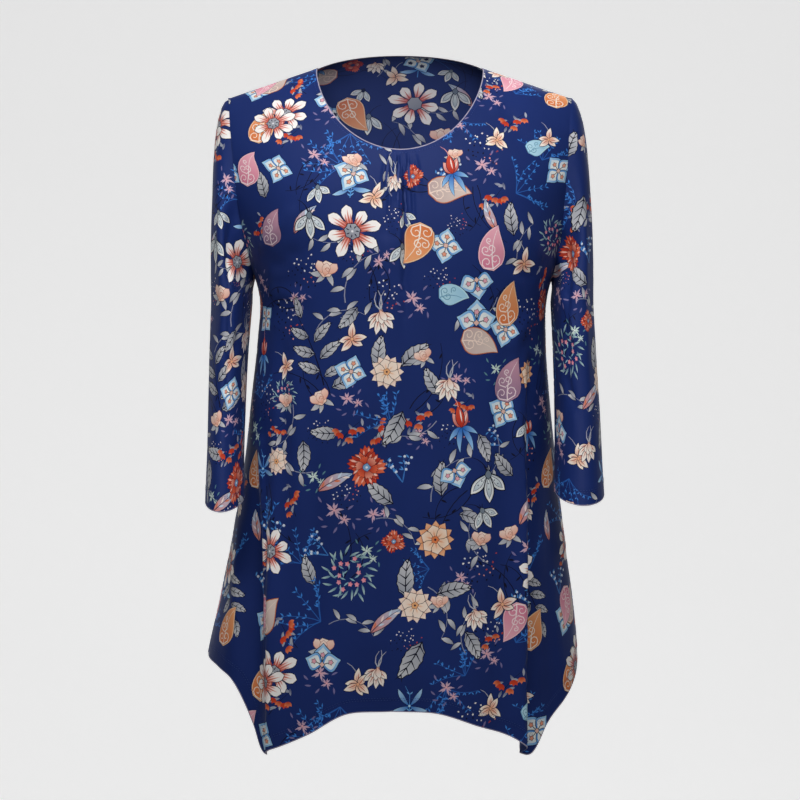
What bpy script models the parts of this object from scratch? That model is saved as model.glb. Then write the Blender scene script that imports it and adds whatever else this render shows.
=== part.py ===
"""Printed jersey tunic top, hollow as if worn: front, back and two three-quarter sleeves.

Metres, +Z up. The origin is the middle of the line between the two high shoulder points,
the front faces -Y and the wearer's right side lies at -X. Each panel is an open grid on
sections worked out from the sizes below, and Solidify gives it the wall of the cloth.
"""

import math

import bmesh
import bpy
import numpy as np

# Driving sizes of the cut
WALL = 0.0015
SEAM_GAP = 0.0003
CAP_GAP = 0.0004
EDGE_ROW = 0.003
NECK_HALF = 0.101
SHOULDER_HALF = 0.201
SHOULDER_DROP = 0.034
NECK_RISE = 0.024
FRONT_NECK_DROP = 0.151
BACK_NECK_DROP = 0.001
UNDERARM_DROP = 0.298
SIDE_HEM_HEIGHT = -0.682

# Shape of the curves: the neckline, how far out the shoulder line keeps sloping as a share of
# its length, and how much higher up the section is read than where the cloth hangs
NECK_ROUNDNESS = 0.9
SHOULDER_END = 1.15
SECTION_LEAD = 0.02

# How the cloth leans off the shoulder ridge, in degrees from upright, and how fast it stands up
RIDGE_LEAN = 53.0
RIDGE_REACH = 0.032
CHEST_LEAN = 44.0
CHEST_REACH = 0.310

# Grid of a panel and of a sleeve
NECK_STEPS = 8
SHOULDER_STEPS = 9
ARMHOLE_STEPS = 10
SIDE_STEPS = 11
CAP_RINGS = 6
SLEEVE_RINGS = 7
SECTION_SAMPLES = 361

# A column of the grid follows each lapped fold, from this height down
FOLD_SHARE = 0.613
FOLLOW_FROM = -0.12
FOLLOW_OVER = 0.20

# A lapped fold's bell, turned into a ridge beside a trough and into cloth drawn across it
LAP_RISE = 1.8
LAP_SHIFT = 2.2

# Body sections: height, half width, middle in x, front and back depth, squareness of the oval
BODY_COLUMNS = ("height", "half_width", "middle", "front", "back", "square")
BODY_SECTIONS = (
    (0.000, 0.226, 0.000, 0.128, 0.092, 2.6),
    (-0.050, 0.223, 0.000, 0.128, 0.092, 2.6),
    (-0.100, 0.214, 0.001, 0.128, 0.094, 2.6),
    (-0.150, 0.200, 0.002, 0.126, 0.096, 2.5),
    (-0.200, 0.183, 0.004, 0.124, 0.098, 2.4),
    (-0.245, 0.169, 0.004, 0.122, 0.100, 2.35),
    (-0.300, 0.169, 0.002, 0.121, 0.100, 2.3),
    (-0.360, 0.1745, 0.001, 0.121, 0.101, 2.3),
    (-0.430, 0.182, 0.001, 0.122, 0.104, 2.3),
    (-0.520, 0.194, -0.001, 0.124, 0.108, 2.25),
    (-0.600, 0.207, -0.004, 0.127, 0.113, 2.2),
    (-0.680, 0.219, -0.009, 0.130, 0.118, 2.15),
    (-0.800, 0.226, -0.010, 0.132, 0.122, 2.15),
)

# Armhole: cloth distance below the high shoulder point, and share of the section's half width
ARMHOLE_COLUMNS = ("drop", "share")
ARMHOLE = (
    (0.034, 0.897),
    (0.080, 0.884),
    (0.130, 0.882),
    (0.190, 0.907),
    (0.250, 0.957),
    (UNDERARM_DROP, 1.000),
)

# Hem: share of the half girth from the middle, and height there, for each quarter of the body
HEM_COLUMNS = ("share", "front_left", "front_right", "back_left", "back_right")
HEM = (
    (0.00, -0.724, -0.724, -0.724, -0.724),
    (0.18, -0.728, -0.727, -0.728, -0.728),
    (0.32, -0.752, -0.742, -0.748, -0.748),
    (0.46, -0.770, -0.758, -0.768, -0.766),
    (0.55, -0.777, -0.776, -0.777, -0.778),
    (0.61, -0.748, -0.783, -0.750, -0.780),
    (0.70, -0.706, -0.752, -0.710, -0.754),
    (0.80, -0.692, -0.726, -0.696, -0.728),
    (0.90, -0.688, -0.703, -0.690, -0.706),
    (1.00, -0.686, -0.678, -0.686, -0.678),
)

# Largest folds: panel, x at its top and at the hem, height where it starts and where it is
# full, half width, rise off the section, and how far one flank laps over the other
FOLD_COLUMNS = ("panel", "x_top", "x_hem", "start", "full", "half", "rise", "lap")
FOLDS = (
    ("front", 0.140, 0.139, -0.300, -0.520, 0.018, 0.0110, 0.0115),
    ("front", 0.163, 0.176, -0.320, -0.560, 0.013, -0.0060, 0.0000),
    ("front", -0.150, -0.150, -0.420, -0.640, 0.017, 0.0080, -0.0070),
    ("front", -0.165, -0.181, -0.460, -0.620, 0.012, -0.0090, 0.0000),
    ("front", -0.060, -0.075, -0.500, -0.760, 0.040, 0.0040, 0.0000),
    ("front", 0.050, 0.062, -0.520, -0.760, 0.042, 0.0045, 0.0000),
    ("back", 0.136, 0.146, -0.330, -0.560, 0.020, 0.0090, 0.0070),
    ("back", -0.140, -0.152, -0.380, -0.600, 0.020, 0.0090, -0.0070),
    ("back", 0.045, 0.058, -0.460, -0.740, 0.040, 0.0060, 0.0000),
    ("back", -0.050, -0.048, -0.420, -0.700, 0.036, 0.0055, 0.0000),
)

# Sleeves below the armhole: height, inner and outer edge from the middle, middle in y,
# half depth. The arm hangs a little forward, clear of the flare of the body.
SLEEVE_COLUMNS = ("height", "inner", "outer", "forward", "half_depth")
LEFT_SLEEVE = (
    (-0.275, 0.1735, 0.2185, -0.012, 0.0630),
    (-0.330, 0.1770, 0.2195, -0.024, 0.0590),
    (-0.400, 0.1785, 0.2200, -0.045, 0.0540),
    (-0.460, 0.1780, 0.2200, -0.068, 0.0500),
    (-0.494, 0.1760, 0.2200, -0.082, 0.0485),
)
RIGHT_SLEEVE = (
    (-0.275, 0.1775, 0.2245, -0.012, 0.0620),
    (-0.330, 0.1790, 0.2270, -0.024, 0.0590),
    (-0.400, 0.1790, 0.2300, -0.045, 0.0540),
    (-0.460, 0.1770, 0.2305, -0.068, 0.0510),
    (-0.487, 0.1755, 0.2310, -0.079, 0.0500),
)

# Cuff, and how the cap leaves the armhole: degrees below level at its top and underarm, how
# far that direction and the arm's pull on the curve between, and where its first ring lies
CUFF_DIP = 0.010
CAP_LIFT = 17.0
UNDERARM_LIFT = 68.0
CAP_PULL = 0.085
BICEP_PULL = 0.110
FIRST_RING_SHARE = 0.02

# Colours: the printed navy jersey, a little different on each piece so that the seams show
PIECE_COLOURS = {
    "front": (0.013, 0.030, 0.135),
    "back": (0.011, 0.026, 0.118),
    "sleeve_left": (0.016, 0.036, 0.152),
    "sleeve_right": (0.016, 0.036, 0.152),
}
CLOTH_ROUGHNESS = 0.55


def clear_scene():
    """Take away whatever objects the file starts with."""
    for obj in list(bpy.data.objects):
        bpy.data.objects.remove(obj, do_unlink=True)


def smooth_column(columns, rows, wanted, at):
    """One column of a table at the given values of its first column, on a smooth curve."""
    index = columns.index(wanted)
    table = sorted((row[0], row[index]) for row in rows)
    xs = np.array([row[0] for row in table])
    ys = np.array([row[1] for row in table])
    slopes = np.gradient(ys, xs)
    at = np.clip(np.asarray(at, float), xs[0], xs[-1])
    low = np.clip(np.searchsorted(xs, at) - 1, 0, len(xs) - 2)
    width = xs[low + 1] - xs[low]
    t = (at - xs[low]) / width
    near = (1 + 2 * t) * (1 - t) ** 2 * ys[low] + t * (1 - t) ** 2 * width * slopes[low]
    far = t * t * (3 - 2 * t) * ys[low + 1] - t * t * (1 - t) * width * slopes[low + 1]
    return near + far


def lean_profile():
    """How far forward and how far down the cloth gets, by cloth distance from the ridge."""
    distance = np.linspace(0.0, 1.0, 2001)
    lean = RIDGE_LEAN * np.exp(-distance / RIDGE_REACH)
    lean = lean + CHEST_LEAN * np.clip(1 - distance / CHEST_REACH, 0, None)
    step = distance[1]
    forward = np.concatenate(([0.0], np.cumsum(np.sin(np.radians(lean[:-1])) * step)))
    down = np.concatenate(([0.0], np.cumsum(np.cos(np.radians(lean[:-1])) * step)))
    return distance, forward / forward[-1], down


PROFILE = lean_profile()


def forward_share(distance):
    """Share of the full chest depth reached at a cloth distance below the ridge."""
    return np.interp(distance, PROFILE[0], PROFILE[1])


def fall(distance):
    """Height lost over a cloth distance below the ridge."""
    return np.interp(distance, PROFILE[0], PROFILE[2])


def drop_for(height):
    """Cloth distance below the ridge at which a height is reached."""
    return np.interp(-np.asarray(height, float), PROFILE[2], PROFILE[0])


def ridge_drop(x):
    """How far the shoulder line lies below the high shoulder point; it arches over the neck."""
    beyond = (np.abs(x) - NECK_HALF) / (SHOULDER_HALF - NECK_HALF)
    arch = NECK_RISE * np.clip(1 - (np.asarray(x) / NECK_HALF) ** 2, 0.0, 1.0)
    return SHOULDER_DROP * np.clip(beyond, 0.0, SHOULDER_END) - arch


def body_column(wanted, height):
    """One measure of the body's section at a height."""
    return smooth_column(BODY_COLUMNS, BODY_SECTIONS, wanted, height)


def fold_centre(fold, height):
    """Share of its full size that a fold has at a height, and the x of its middle there."""
    share = np.clip((fold["start"] - height) / (fold["start"] - fold["full"]), 0, 1)
    share = share * share * (3 - 2 * share)
    return share, fold["x_top"] + (fold["x_hem"] - fold["x_top"]) * share


def folds_of(panel):
    """The folds of one panel, as named values."""
    rows = [dict(zip(FOLD_COLUMNS, row)) for row in FOLDS]
    return [fold for fold in rows if fold["panel"] == panel]


def fold_offsets(panel, x, height):
    """Rise off the section, and shift along it, that the folds of a panel give."""
    rise = np.zeros_like(x)
    shift = np.zeros_like(x)
    for fold in folds_of(panel):
        share, centre = fold_centre(fold, height)
        q = (x - centre) / fold["half"]
        bell = np.exp(-q * q)
        lap = fold["lap"]
        shape = bell if lap == 0.0 else -LAP_RISE * q * bell * np.sign(lap)
        rise += share * fold["rise"] * shape
        shift -= share * abs(lap) * LAP_SHIFT * q * bell
    return rise, shift


def section(panel, drop):
    """Points of a panel's whole section at a cloth distance below the high shoulder point."""
    turn = np.linspace(-math.pi / 2, math.pi / 2, SECTION_SAMPLES)
    across = np.sin(turn)
    height = -fall(np.maximum(drop - SECTION_LEAD, 0.0))
    half = body_column("half_width", height)
    depth = body_column("front" if panel == "front" else "back", height)
    square = body_column("square", height)
    x = body_column("middle", height) + half * across
    below = np.maximum(drop - ridge_drop(x), 0.0)
    oval = np.sqrt(np.maximum(1 - np.abs(across) ** square, 0.0))
    out = depth * forward_share(below) * oval
    out = out - out[0]
    z = -ridge_drop(x) - fall(below)
    facing = -1.0 if panel == "front" else 1.0
    rise, shift = fold_offsets(panel, x, z)
    along_x = np.gradient(x, turn)
    along_out = np.gradient(out, turn)
    length = np.hypot(along_x, along_out)
    x = x + (-along_out * rise + along_x * shift) / length
    out = out + (along_x * rise + along_out * shift) / length
    return np.column_stack((x, facing * out, z))


def arc_from_middle(points):
    """Distance along a section, counted from its middle sample."""
    steps = np.linalg.norm(np.diff(points, axis=0), axis=1)
    arc = np.concatenate(([0.0], np.cumsum(steps)))
    return arc - arc[len(arc) // 2]


def edge_arcs(arc, drop):
    """Distance along the section to the left and right edges: the armhole or the side seam."""
    if drop >= UNDERARM_DROP:
        return arc[0], arc[-1]
    share = smooth_column(ARMHOLE_COLUMNS, ARMHOLE, "share", drop)
    turns = np.linspace(-math.pi / 2, math.pi / 2, len(arc))
    return np.interp([-math.asin(share), math.asin(share)], turns, arc)


def panel_point(panel, share, drop):
    """Place on a panel, from its share of the half girth (-1 to 1) and its cloth distance."""
    points = section(panel, drop)
    arc = arc_from_middle(points)
    left, right = edge_arcs(arc, drop)
    at = share * (right if share > 0 else -left)
    limit = SEAM_GAP / 2
    at = min(max(at, left + limit), right - limit)
    return np.array([np.interp(at, arc, points[:, axis]) for axis in range(3)])


def follow_fold(panel, share, drop):
    """Share moved so that one column of the grid runs down the middle of the lapped fold."""
    side = math.copysign(1.0, share)
    height = -float(fall(drop))
    for fold in folds_of(panel):
        if fold["lap"] == 0.0 or fold["x_hem"] * side < 0:
            continue
        _, centre = fold_centre(fold, height)
        half = body_column("half_width", height)
        across = (centre - body_column("middle", height)) * side / half
        turn = math.asin(min(across, 1.0)) / (math.pi / 2)
        ready = min(max((FOLLOW_FROM - height) / FOLLOW_OVER, 0.0), 1.0)
        target = FOLD_SHARE + (turn - FOLD_SHARE) * ready
        return side * float(np.interp(abs(share), (0.0, FOLD_SHARE, 1.0), (0.0, target, 1.0)))
    return share


def half_edge(panel, drop):
    """Mean distance along the cloth from the middle to the panel's edge."""
    points = section(panel, drop)
    left, right = edge_arcs(arc_from_middle(points), drop)
    return (right - left) / 2


def top_edge(panel):
    """Shares and cloth distances of the half top edge: neckline first, then shoulder seam."""
    neck_drop = FRONT_NECK_DROP if panel == "front" else BACK_NECK_DROP
    edge = []
    for step in range(NECK_STEPS):
        turn = math.pi / 2 * step / NECK_STEPS
        drop = neck_drop * math.cos(turn) ** NECK_ROUNDNESS
        edge.append((NECK_HALF * math.sin(turn) / half_edge(panel, drop), drop))
    neck_share = NECK_HALF / SHOULDER_HALF
    for step in range(SHOULDER_STEPS + 1):
        share = neck_share + (1 - neck_share) * step / SHOULDER_STEPS
        edge.append((share, float(ridge_drop(share * SHOULDER_HALF)) + SEAM_GAP / 2))
    allowance = 1 - EDGE_ROW / SHOULDER_HALF
    edge.insert(-1, (allowance, float(ridge_drop(allowance * SHOULDER_HALF)) + SEAM_GAP / 2))
    return edge


def hem_drop(panel, share):
    """Cloth distance at which a column of the panel meets the hem."""
    wanted = f"{panel}_{'left' if share < 0 else 'right'}"
    height = smooth_column(HEM_COLUMNS, HEM, wanted, abs(share))
    return float(drop_for(height))


def row_shares():
    """Shares of the length of a column at which its rows lie, with one at the underarm."""
    side_top = SHOULDER_DROP
    side_hem = float(drop_for(SIDE_HEM_HEIGHT))
    underarm = (UNDERARM_DROP - side_top) / (side_hem - side_top)
    rows = [underarm * math.sin(math.pi / 2 * k / ARMHOLE_STEPS) for k in range(ARMHOLE_STEPS)]
    rows += [underarm + (1 - underarm) * k / SIDE_STEPS for k in range(SIDE_STEPS + 1)]
    rows.insert(1, EDGE_ROW / (side_hem - side_top))
    return rows, ARMHOLE_STEPS + 1


def panel_rows(panel):
    """Grid of points of a panel, a list of rows from the top edge to the hem."""
    half = top_edge(panel)
    columns = [(-share, drop) for share, drop in reversed(half[1:])] + half
    shares, underarm_row = row_shares()
    level = shares[underarm_row]
    grid = []
    for row, share_down in enumerate(shares):
        line = []
        for share, top in columns:
            if row <= underarm_row:
                drop = top + (UNDERARM_DROP - top) * share_down / level
            else:
                at = (share_down - level) / (1 - level)
                drop = UNDERARM_DROP + (hem_drop(panel, share) - UNDERARM_DROP) * at
            line.append(panel_point(panel, follow_fold(panel, share, drop), drop))
        grid.append(line)
    return grid, underarm_row


def grid_object(name, grid, closed, collection):
    """An open surface through a grid of points, with the wall of the cloth as Solidify."""
    mesh = bpy.data.meshes.new(name)
    bm = bmesh.new()
    rows = [[bm.verts.new(point) for point in line] for line in grid]
    count = len(rows[0])
    spans = count if closed else count - 1
    for upper, lower in zip(rows, rows[1:]):
        for k in range(spans):
            nxt = (k + 1) % count
            bm.faces.new((upper[k], lower[k], lower[nxt], upper[nxt]))
    bm.to_mesh(mesh)
    bm.free()
    mesh.shade_smooth()
    obj = bpy.data.objects.new(name, mesh)
    collection.objects.link(obj)
    wall = obj.modifiers.new("cloth wall", "SOLIDIFY")
    wall.thickness = WALL
    wall.offset = -1.0
    mesh.materials.append(jersey(name, PIECE_COLOURS[name]))
    return obj


def jersey(name, colour):
    """Plain stand-in for the printed jersey of one piece."""
    material = bpy.data.materials.new(f"printed_jersey_{name}")
    material.use_nodes = True
    shader = material.node_tree.nodes["Principled BSDF"]
    shader.inputs["Base Color"].default_value = (*colour, 1.0)
    shader.inputs["Roughness"].default_value = CLOTH_ROUGHNESS
    shader.inputs["Metallic"].default_value = 0.0
    material.diffuse_color = (*colour, 1.0)
    return material


def armhole_loop(front, back, underarm_row, side):
    """Armhole points, down the front and up the back, each with a point inside its panel."""
    column, beside = (0, 1) if side < 0 else (-1, -2)
    down = [(front[row][column], front[row + 1][beside]) for row in range(underarm_row + 1)]
    up = [(back[row][column], back[row + 1][beside]) for row in range(underarm_row, 0, -1)]
    loop = [point for point, _ in down + up]
    inside = [point for _, point in down + up]
    loop[0] = (front[0][column] + back[0][column]) / 2
    inside[0] = (front[1][beside] + back[1][beside]) / 2
    below = underarm_row + 1
    loop[underarm_row] = (down[-1][0] + up[0][0]) / 2
    inside[underarm_row] = (front[below][column] + back[below][column]) / 2
    del loop[below], inside[below]
    return loop, inside


def unit(vector):
    """The vector at length one."""
    return vector / np.linalg.norm(vector)


def cap_start(loop, inside, k):
    """Where a line of the sleeve starts: a seam gap off the panels, square to their edge."""
    along = unit(loop[(k + 1) % len(loop)] - loop[k - 1])
    inward = inside[k] - loop[k]
    return loop[k] + CAP_GAP * unit(np.dot(inward, along) * along - inward)


def sleeve_ring(rows, height, side, angles):
    """Horizontal oval of the sleeve at a height; an angle of 0 is its outer line."""
    inner = smooth_column(SLEEVE_COLUMNS, rows, "inner", height)
    outer = smooth_column(SLEEVE_COLUMNS, rows, "outer", height)
    forward = smooth_column(SLEEVE_COLUMNS, rows, "forward", height)
    depth = smooth_column(SLEEVE_COLUMNS, rows, "half_depth", height)
    ring = []
    for angle in angles:
        x = side * ((outer + inner) / 2 + (outer - inner) / 2 * math.cos(angle))
        y = forward - depth * math.sin(angle)
        ring.append(np.array((x, y, height)))
    return ring


def hermite(start, start_pull, end, end_pull, t):
    """Point on the smooth curve between two points with the given pulls at its ends."""
    return (
        (2 * t**3 - 3 * t**2 + 1) * start
        + (t**3 - 2 * t**2 + t) * start_pull
        + (3 * t**2 - 2 * t**3) * end
        + (t**3 - t**2) * end_pull
    )


def sleeve_rows(loop, inside, rows, side):
    """Grid of points of a sleeve: the cap off the armhole, then rings down to the cuff."""
    count = len(loop)
    angles = [2 * math.pi * k / count for k in range(count)]
    bicep_height = rows[0][0]
    bicep = sleeve_ring(rows, bicep_height, side, angles)
    shares = [0.0, FIRST_RING_SHARE] + [k / CAP_RINGS for k in range(1, CAP_RINGS)]
    grid = []
    for t in shares:
        line = []
        for k, (angle, end) in enumerate(zip(angles, bicep)):
            under = (1 - math.cos(angle)) / 2
            slope = math.radians(CAP_LIFT + (UNDERARM_LIFT - CAP_LIFT) * under)
            out = np.array((side * math.cos(slope), 0.0, -math.sin(slope)))
            begin = cap_start(loop, inside, k)
            reach = np.linalg.norm(end - begin)
            start_pull = out * min(CAP_PULL, reach)
            end_pull = np.array((0.0, 0.0, -min(BICEP_PULL, reach)))
            line.append(hermite(begin, start_pull, end, end_pull, t))
        grid.append(line)
    cuff_height = rows[-1][0]
    for k in range(SLEEVE_RINGS + 1):
        t = k / SLEEVE_RINGS
        ring = sleeve_ring(rows, bicep_height + (cuff_height - bicep_height) * t, side, angles)
        for angle, point in zip(angles, ring):
            point[2] -= CUFF_DIP * t * t * math.sin(angle)
        grid.append(ring)
    return grid


def build():
    """Clear the scene and make the four pieces in one collection."""
    clear_scene()
    tunic = bpy.data.collections.new("tunic_top")
    bpy.context.scene.collection.children.link(tunic)
    front, underarm_row = panel_rows("front")
    back, _ = panel_rows("back")
    grid_object("front", front, False, tunic)
    grid_object("back", [line[::-1] for line in back], False, tunic)
    for name, rows, side in (("sleeve_left", LEFT_SLEEVE, -1), ("sleeve_right", RIGHT_SLEEVE, 1)):
        loop, inside = armhole_loop(front, back, underarm_row, side)
        grid = sleeve_rows(loop, inside, rows, side)
        if side > 0:
            grid = [line[::-1] for line in grid]
        grid_object(name, grid, True, tunic)


build()
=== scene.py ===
# %% [markdown]
# # A printed jersey tunic top, hollow as if worn
#
# Four pieces are cut and sewn: a front, a back and two three-quarter sleeves. The neck, the
# cuffs and the pointed hem are simply turned in and stitched. Each piece here is a thin shell
# that lies on the form of its rigid solid. The print is drawn flat, cut out with the piece,
# and only then wrapped onto the form, just as printed cloth is.

# %% Load the frame
import math

import bpy
import numpy as np
from mathutils.geometry import delaunay_2d_cdt
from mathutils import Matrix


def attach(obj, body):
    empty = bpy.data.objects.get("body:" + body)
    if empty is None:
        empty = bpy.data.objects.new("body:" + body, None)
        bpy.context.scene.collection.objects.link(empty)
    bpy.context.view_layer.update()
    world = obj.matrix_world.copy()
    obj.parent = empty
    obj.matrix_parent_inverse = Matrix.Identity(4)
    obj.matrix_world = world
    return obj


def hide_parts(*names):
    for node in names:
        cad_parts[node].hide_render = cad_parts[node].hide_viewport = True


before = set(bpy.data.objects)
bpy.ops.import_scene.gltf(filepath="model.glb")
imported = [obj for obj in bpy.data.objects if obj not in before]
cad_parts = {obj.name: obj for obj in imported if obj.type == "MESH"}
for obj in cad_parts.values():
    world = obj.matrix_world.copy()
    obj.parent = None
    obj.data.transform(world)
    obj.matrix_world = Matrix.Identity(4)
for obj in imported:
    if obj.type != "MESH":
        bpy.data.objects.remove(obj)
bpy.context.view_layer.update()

# %% [markdown]
# ## Colour and node helpers
#
# Dyes are easiest to name as sRGB hex values, but shaders and colour attributes add up light,
# so every colour passes through one function that makes it linear.


# %% Helpers for colours and nodes
def linear(hexa):
    """Linear RGB of an sRGB hex colour."""
    value = np.array([int(hexa[k : k + 2], 16) for k in (1, 3, 5)]) / 255
    return np.where(value <= 0.04045, value / 12.92, ((value + 0.055) / 1.055) ** 2.4)


def add_node(tree, kind, settings=None, values=None, links=None):
    """A node with its settings, its socket values, and the outputs linked into it."""
    node = tree.nodes.new(kind)
    for name, value in (settings or {}).items():
        setattr(node, name, value)
    for name, value in (values or {}).items():
        node.inputs[name].default_value = value
    for name, output in (links or {}).items():
        tree.links.new(output, node.inputs[name])
    return node


# %% [markdown]
# ## The cut
#
# A maker measures cloth down from the high shoulder point, where the shoulder seam meets the
# neck. The same measures drive the form here: "drop" is cloth distance below that point, and
# the sections give the half width and the depth of the worn shape at each height. These are
# the sizes of the rigid solids, so the shells land on them.

# %% Sizes of the cut, in metres
CLOTH = 0.0011
NECK_HALF = 0.101
SHOULDER_HALF = 0.201
SHOULDER_DROP = 0.034
NECK_RISE = 0.024
FRONT_NECK_DROP = 0.151
BACK_NECK_DROP = 0.001
NECK_ROUNDNESS = 0.9
UNDERARM_DROP = 0.298
SHOULDER_END = 1.15
SECTION_LEAD = 0.02
RIDGE_LEAN = 53.0
RIDGE_REACH = 0.032
CHEST_LEAN = 44.0
CHEST_REACH = 0.310

BODY_COLUMNS = ("height", "half_width", "middle", "front", "back", "square")
BODY_SECTIONS = (
    (0.000, 0.226, 0.000, 0.128, 0.092, 2.6),
    (-0.050, 0.223, 0.000, 0.128, 0.092, 2.6),
    (-0.100, 0.214, 0.001, 0.128, 0.094, 2.6),
    (-0.150, 0.200, 0.002, 0.126, 0.096, 2.5),
    (-0.200, 0.183, 0.004, 0.124, 0.098, 2.4),
    (-0.245, 0.169, 0.004, 0.122, 0.100, 2.35),
    (-0.300, 0.169, 0.002, 0.121, 0.100, 2.3),
    (-0.360, 0.1745, 0.001, 0.121, 0.101, 2.3),
    (-0.430, 0.182, 0.001, 0.122, 0.104, 2.3),
    (-0.520, 0.194, -0.001, 0.124, 0.108, 2.25),
    (-0.600, 0.207, -0.004, 0.127, 0.113, 2.2),
    (-0.680, 0.219, -0.009, 0.130, 0.118, 2.15),
    (-0.800, 0.226, -0.010, 0.132, 0.122, 2.15),
)
ARMHOLE_COLUMNS = ("drop", "share")
ARMHOLE = (
    (0.034, 0.897),
    (0.080, 0.884),
    (0.130, 0.882),
    (0.190, 0.907),
    (0.250, 0.957),
    (UNDERARM_DROP, 1.000),
)
HEM_COLUMNS = ("share", "front_left", "front_right", "back_left", "back_right")
HEM = (
    (0.00, -0.724, -0.724, -0.724, -0.724),
    (0.18, -0.728, -0.727, -0.728, -0.728),
    (0.32, -0.752, -0.742, -0.748, -0.748),
    (0.46, -0.770, -0.758, -0.768, -0.766),
    (0.55, -0.777, -0.776, -0.777, -0.778),
    (0.61, -0.748, -0.783, -0.750, -0.780),
    (0.70, -0.706, -0.752, -0.710, -0.754),
    (0.80, -0.692, -0.726, -0.696, -0.728),
    (0.90, -0.688, -0.703, -0.690, -0.706),
    (1.00, -0.686, -0.678, -0.686, -0.678),
)


def smooth_column(columns, rows, wanted, at):
    """One column of a table at the given values of its first column, on a smooth curve."""
    index = columns.index(wanted)
    table = sorted((row[0], row[index]) for row in rows)
    xs = np.array([row[0] for row in table])
    ys = np.array([row[1] for row in table])
    slopes = np.gradient(ys, xs)
    at = np.clip(np.asarray(at, float), xs[0], xs[-1])
    low = np.clip(np.searchsorted(xs, at) - 1, 0, len(xs) - 2)
    width = xs[low + 1] - xs[low]
    t = (at - xs[low]) / width
    near = (1 + 2 * t) * (1 - t) ** 2 * ys[low] + t * (1 - t) ** 2 * width * slopes[low]
    far = t * t * (3 - 2 * t) * ys[low + 1] - t * t * (1 - t) * width * slopes[low + 1]
    return near + far


# %% [markdown]
# ## How the cloth leaves the shoulder
#
# Cloth leans forward off the shoulder, then turns down over the chest. Summing up that lean
# gives how far forward and how far down the cloth gets for each step along it, so distances on
# the flat piece stay distances on the form.


# %% The fall of the cloth
def lean_profile():
    """How far forward and how far down the cloth gets, by cloth distance from the ridge."""
    distance = np.linspace(0.0, 1.0, 2001)
    lean = RIDGE_LEAN * np.exp(-distance / RIDGE_REACH)
    lean = lean + CHEST_LEAN * np.clip(1 - distance / CHEST_REACH, 0, None)
    step = distance[1]
    forward = np.concatenate(([0.0], np.cumsum(np.sin(np.radians(lean[:-1])) * step)))
    down = np.concatenate(([0.0], np.cumsum(np.cos(np.radians(lean[:-1])) * step)))
    return distance, forward / forward[-1], down


PROFILE = lean_profile()


def fall(distance):
    """Height lost over a cloth distance below the ridge."""
    return np.interp(distance, PROFILE[0], PROFILE[2])


def drop_for(height):
    """Cloth distance below the ridge at which a height is reached."""
    return np.interp(-np.asarray(height, float), PROFILE[2], PROFILE[0])


def ridge_drop(x):
    """How far the shoulder line lies below the high shoulder point; it arches over the neck."""
    beyond = (np.abs(x) - NECK_HALF) / (SHOULDER_HALF - NECK_HALF)
    arch = NECK_RISE * np.clip(1 - (np.asarray(x) / NECK_HALF) ** 2, 0.0, 1.0)
    return SHOULDER_DROP * np.clip(beyond, 0.0, SHOULDER_END) - arch


# %% [markdown]
# ## Folds and creases
#
# The flare hangs in a few long folds. A lapped fold is a ridge beside a trough with cloth drawn
# across it, so that one flank covers the other, as at the two sides of the front. Shorter
# creases are soft ridges or troughs along a slanting line with faded ends. They are placed one
# by one, uneven in length, depth and spacing. The gathers under the front neck fan out from its
# middle, where the edge is drawn up.

# %% Folds and creases, in metres
# panel, x at the top and at the hem, height where it starts and where it is full, half width,
# rise off the section, and how far one flank laps over the other
FOLD_COLUMNS = ("panel", "x_top", "x_hem", "start", "full", "half", "rise", "lap")
FOLDS = (
    ("front", 0.140, 0.139, -0.300, -0.520, 0.018, 0.0110, 0.0115),
    ("front", 0.163, 0.176, -0.320, -0.560, 0.013, -0.0060, 0.0000),
    ("front", -0.150, -0.150, -0.420, -0.640, 0.017, 0.0080, -0.0070),
    ("front", -0.165, -0.181, -0.460, -0.620, 0.012, -0.0090, 0.0000),
    ("front", -0.060, -0.075, -0.500, -0.760, 0.040, 0.0040, 0.0000),
    ("front", 0.050, 0.062, -0.520, -0.760, 0.042, 0.0045, 0.0000),
    ("back", 0.136, 0.146, -0.330, -0.560, 0.020, 0.0090, 0.0070),
    ("back", -0.140, -0.152, -0.380, -0.600, 0.020, 0.0090, -0.0070),
    ("back", 0.045, 0.058, -0.460, -0.740, 0.040, 0.0060, 0.0000),
    ("back", -0.050, -0.048, -0.420, -0.700, 0.036, 0.0055, 0.0000),
)
LAP_RISE = 1.8
LAP_SHIFT = 2.2

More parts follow.
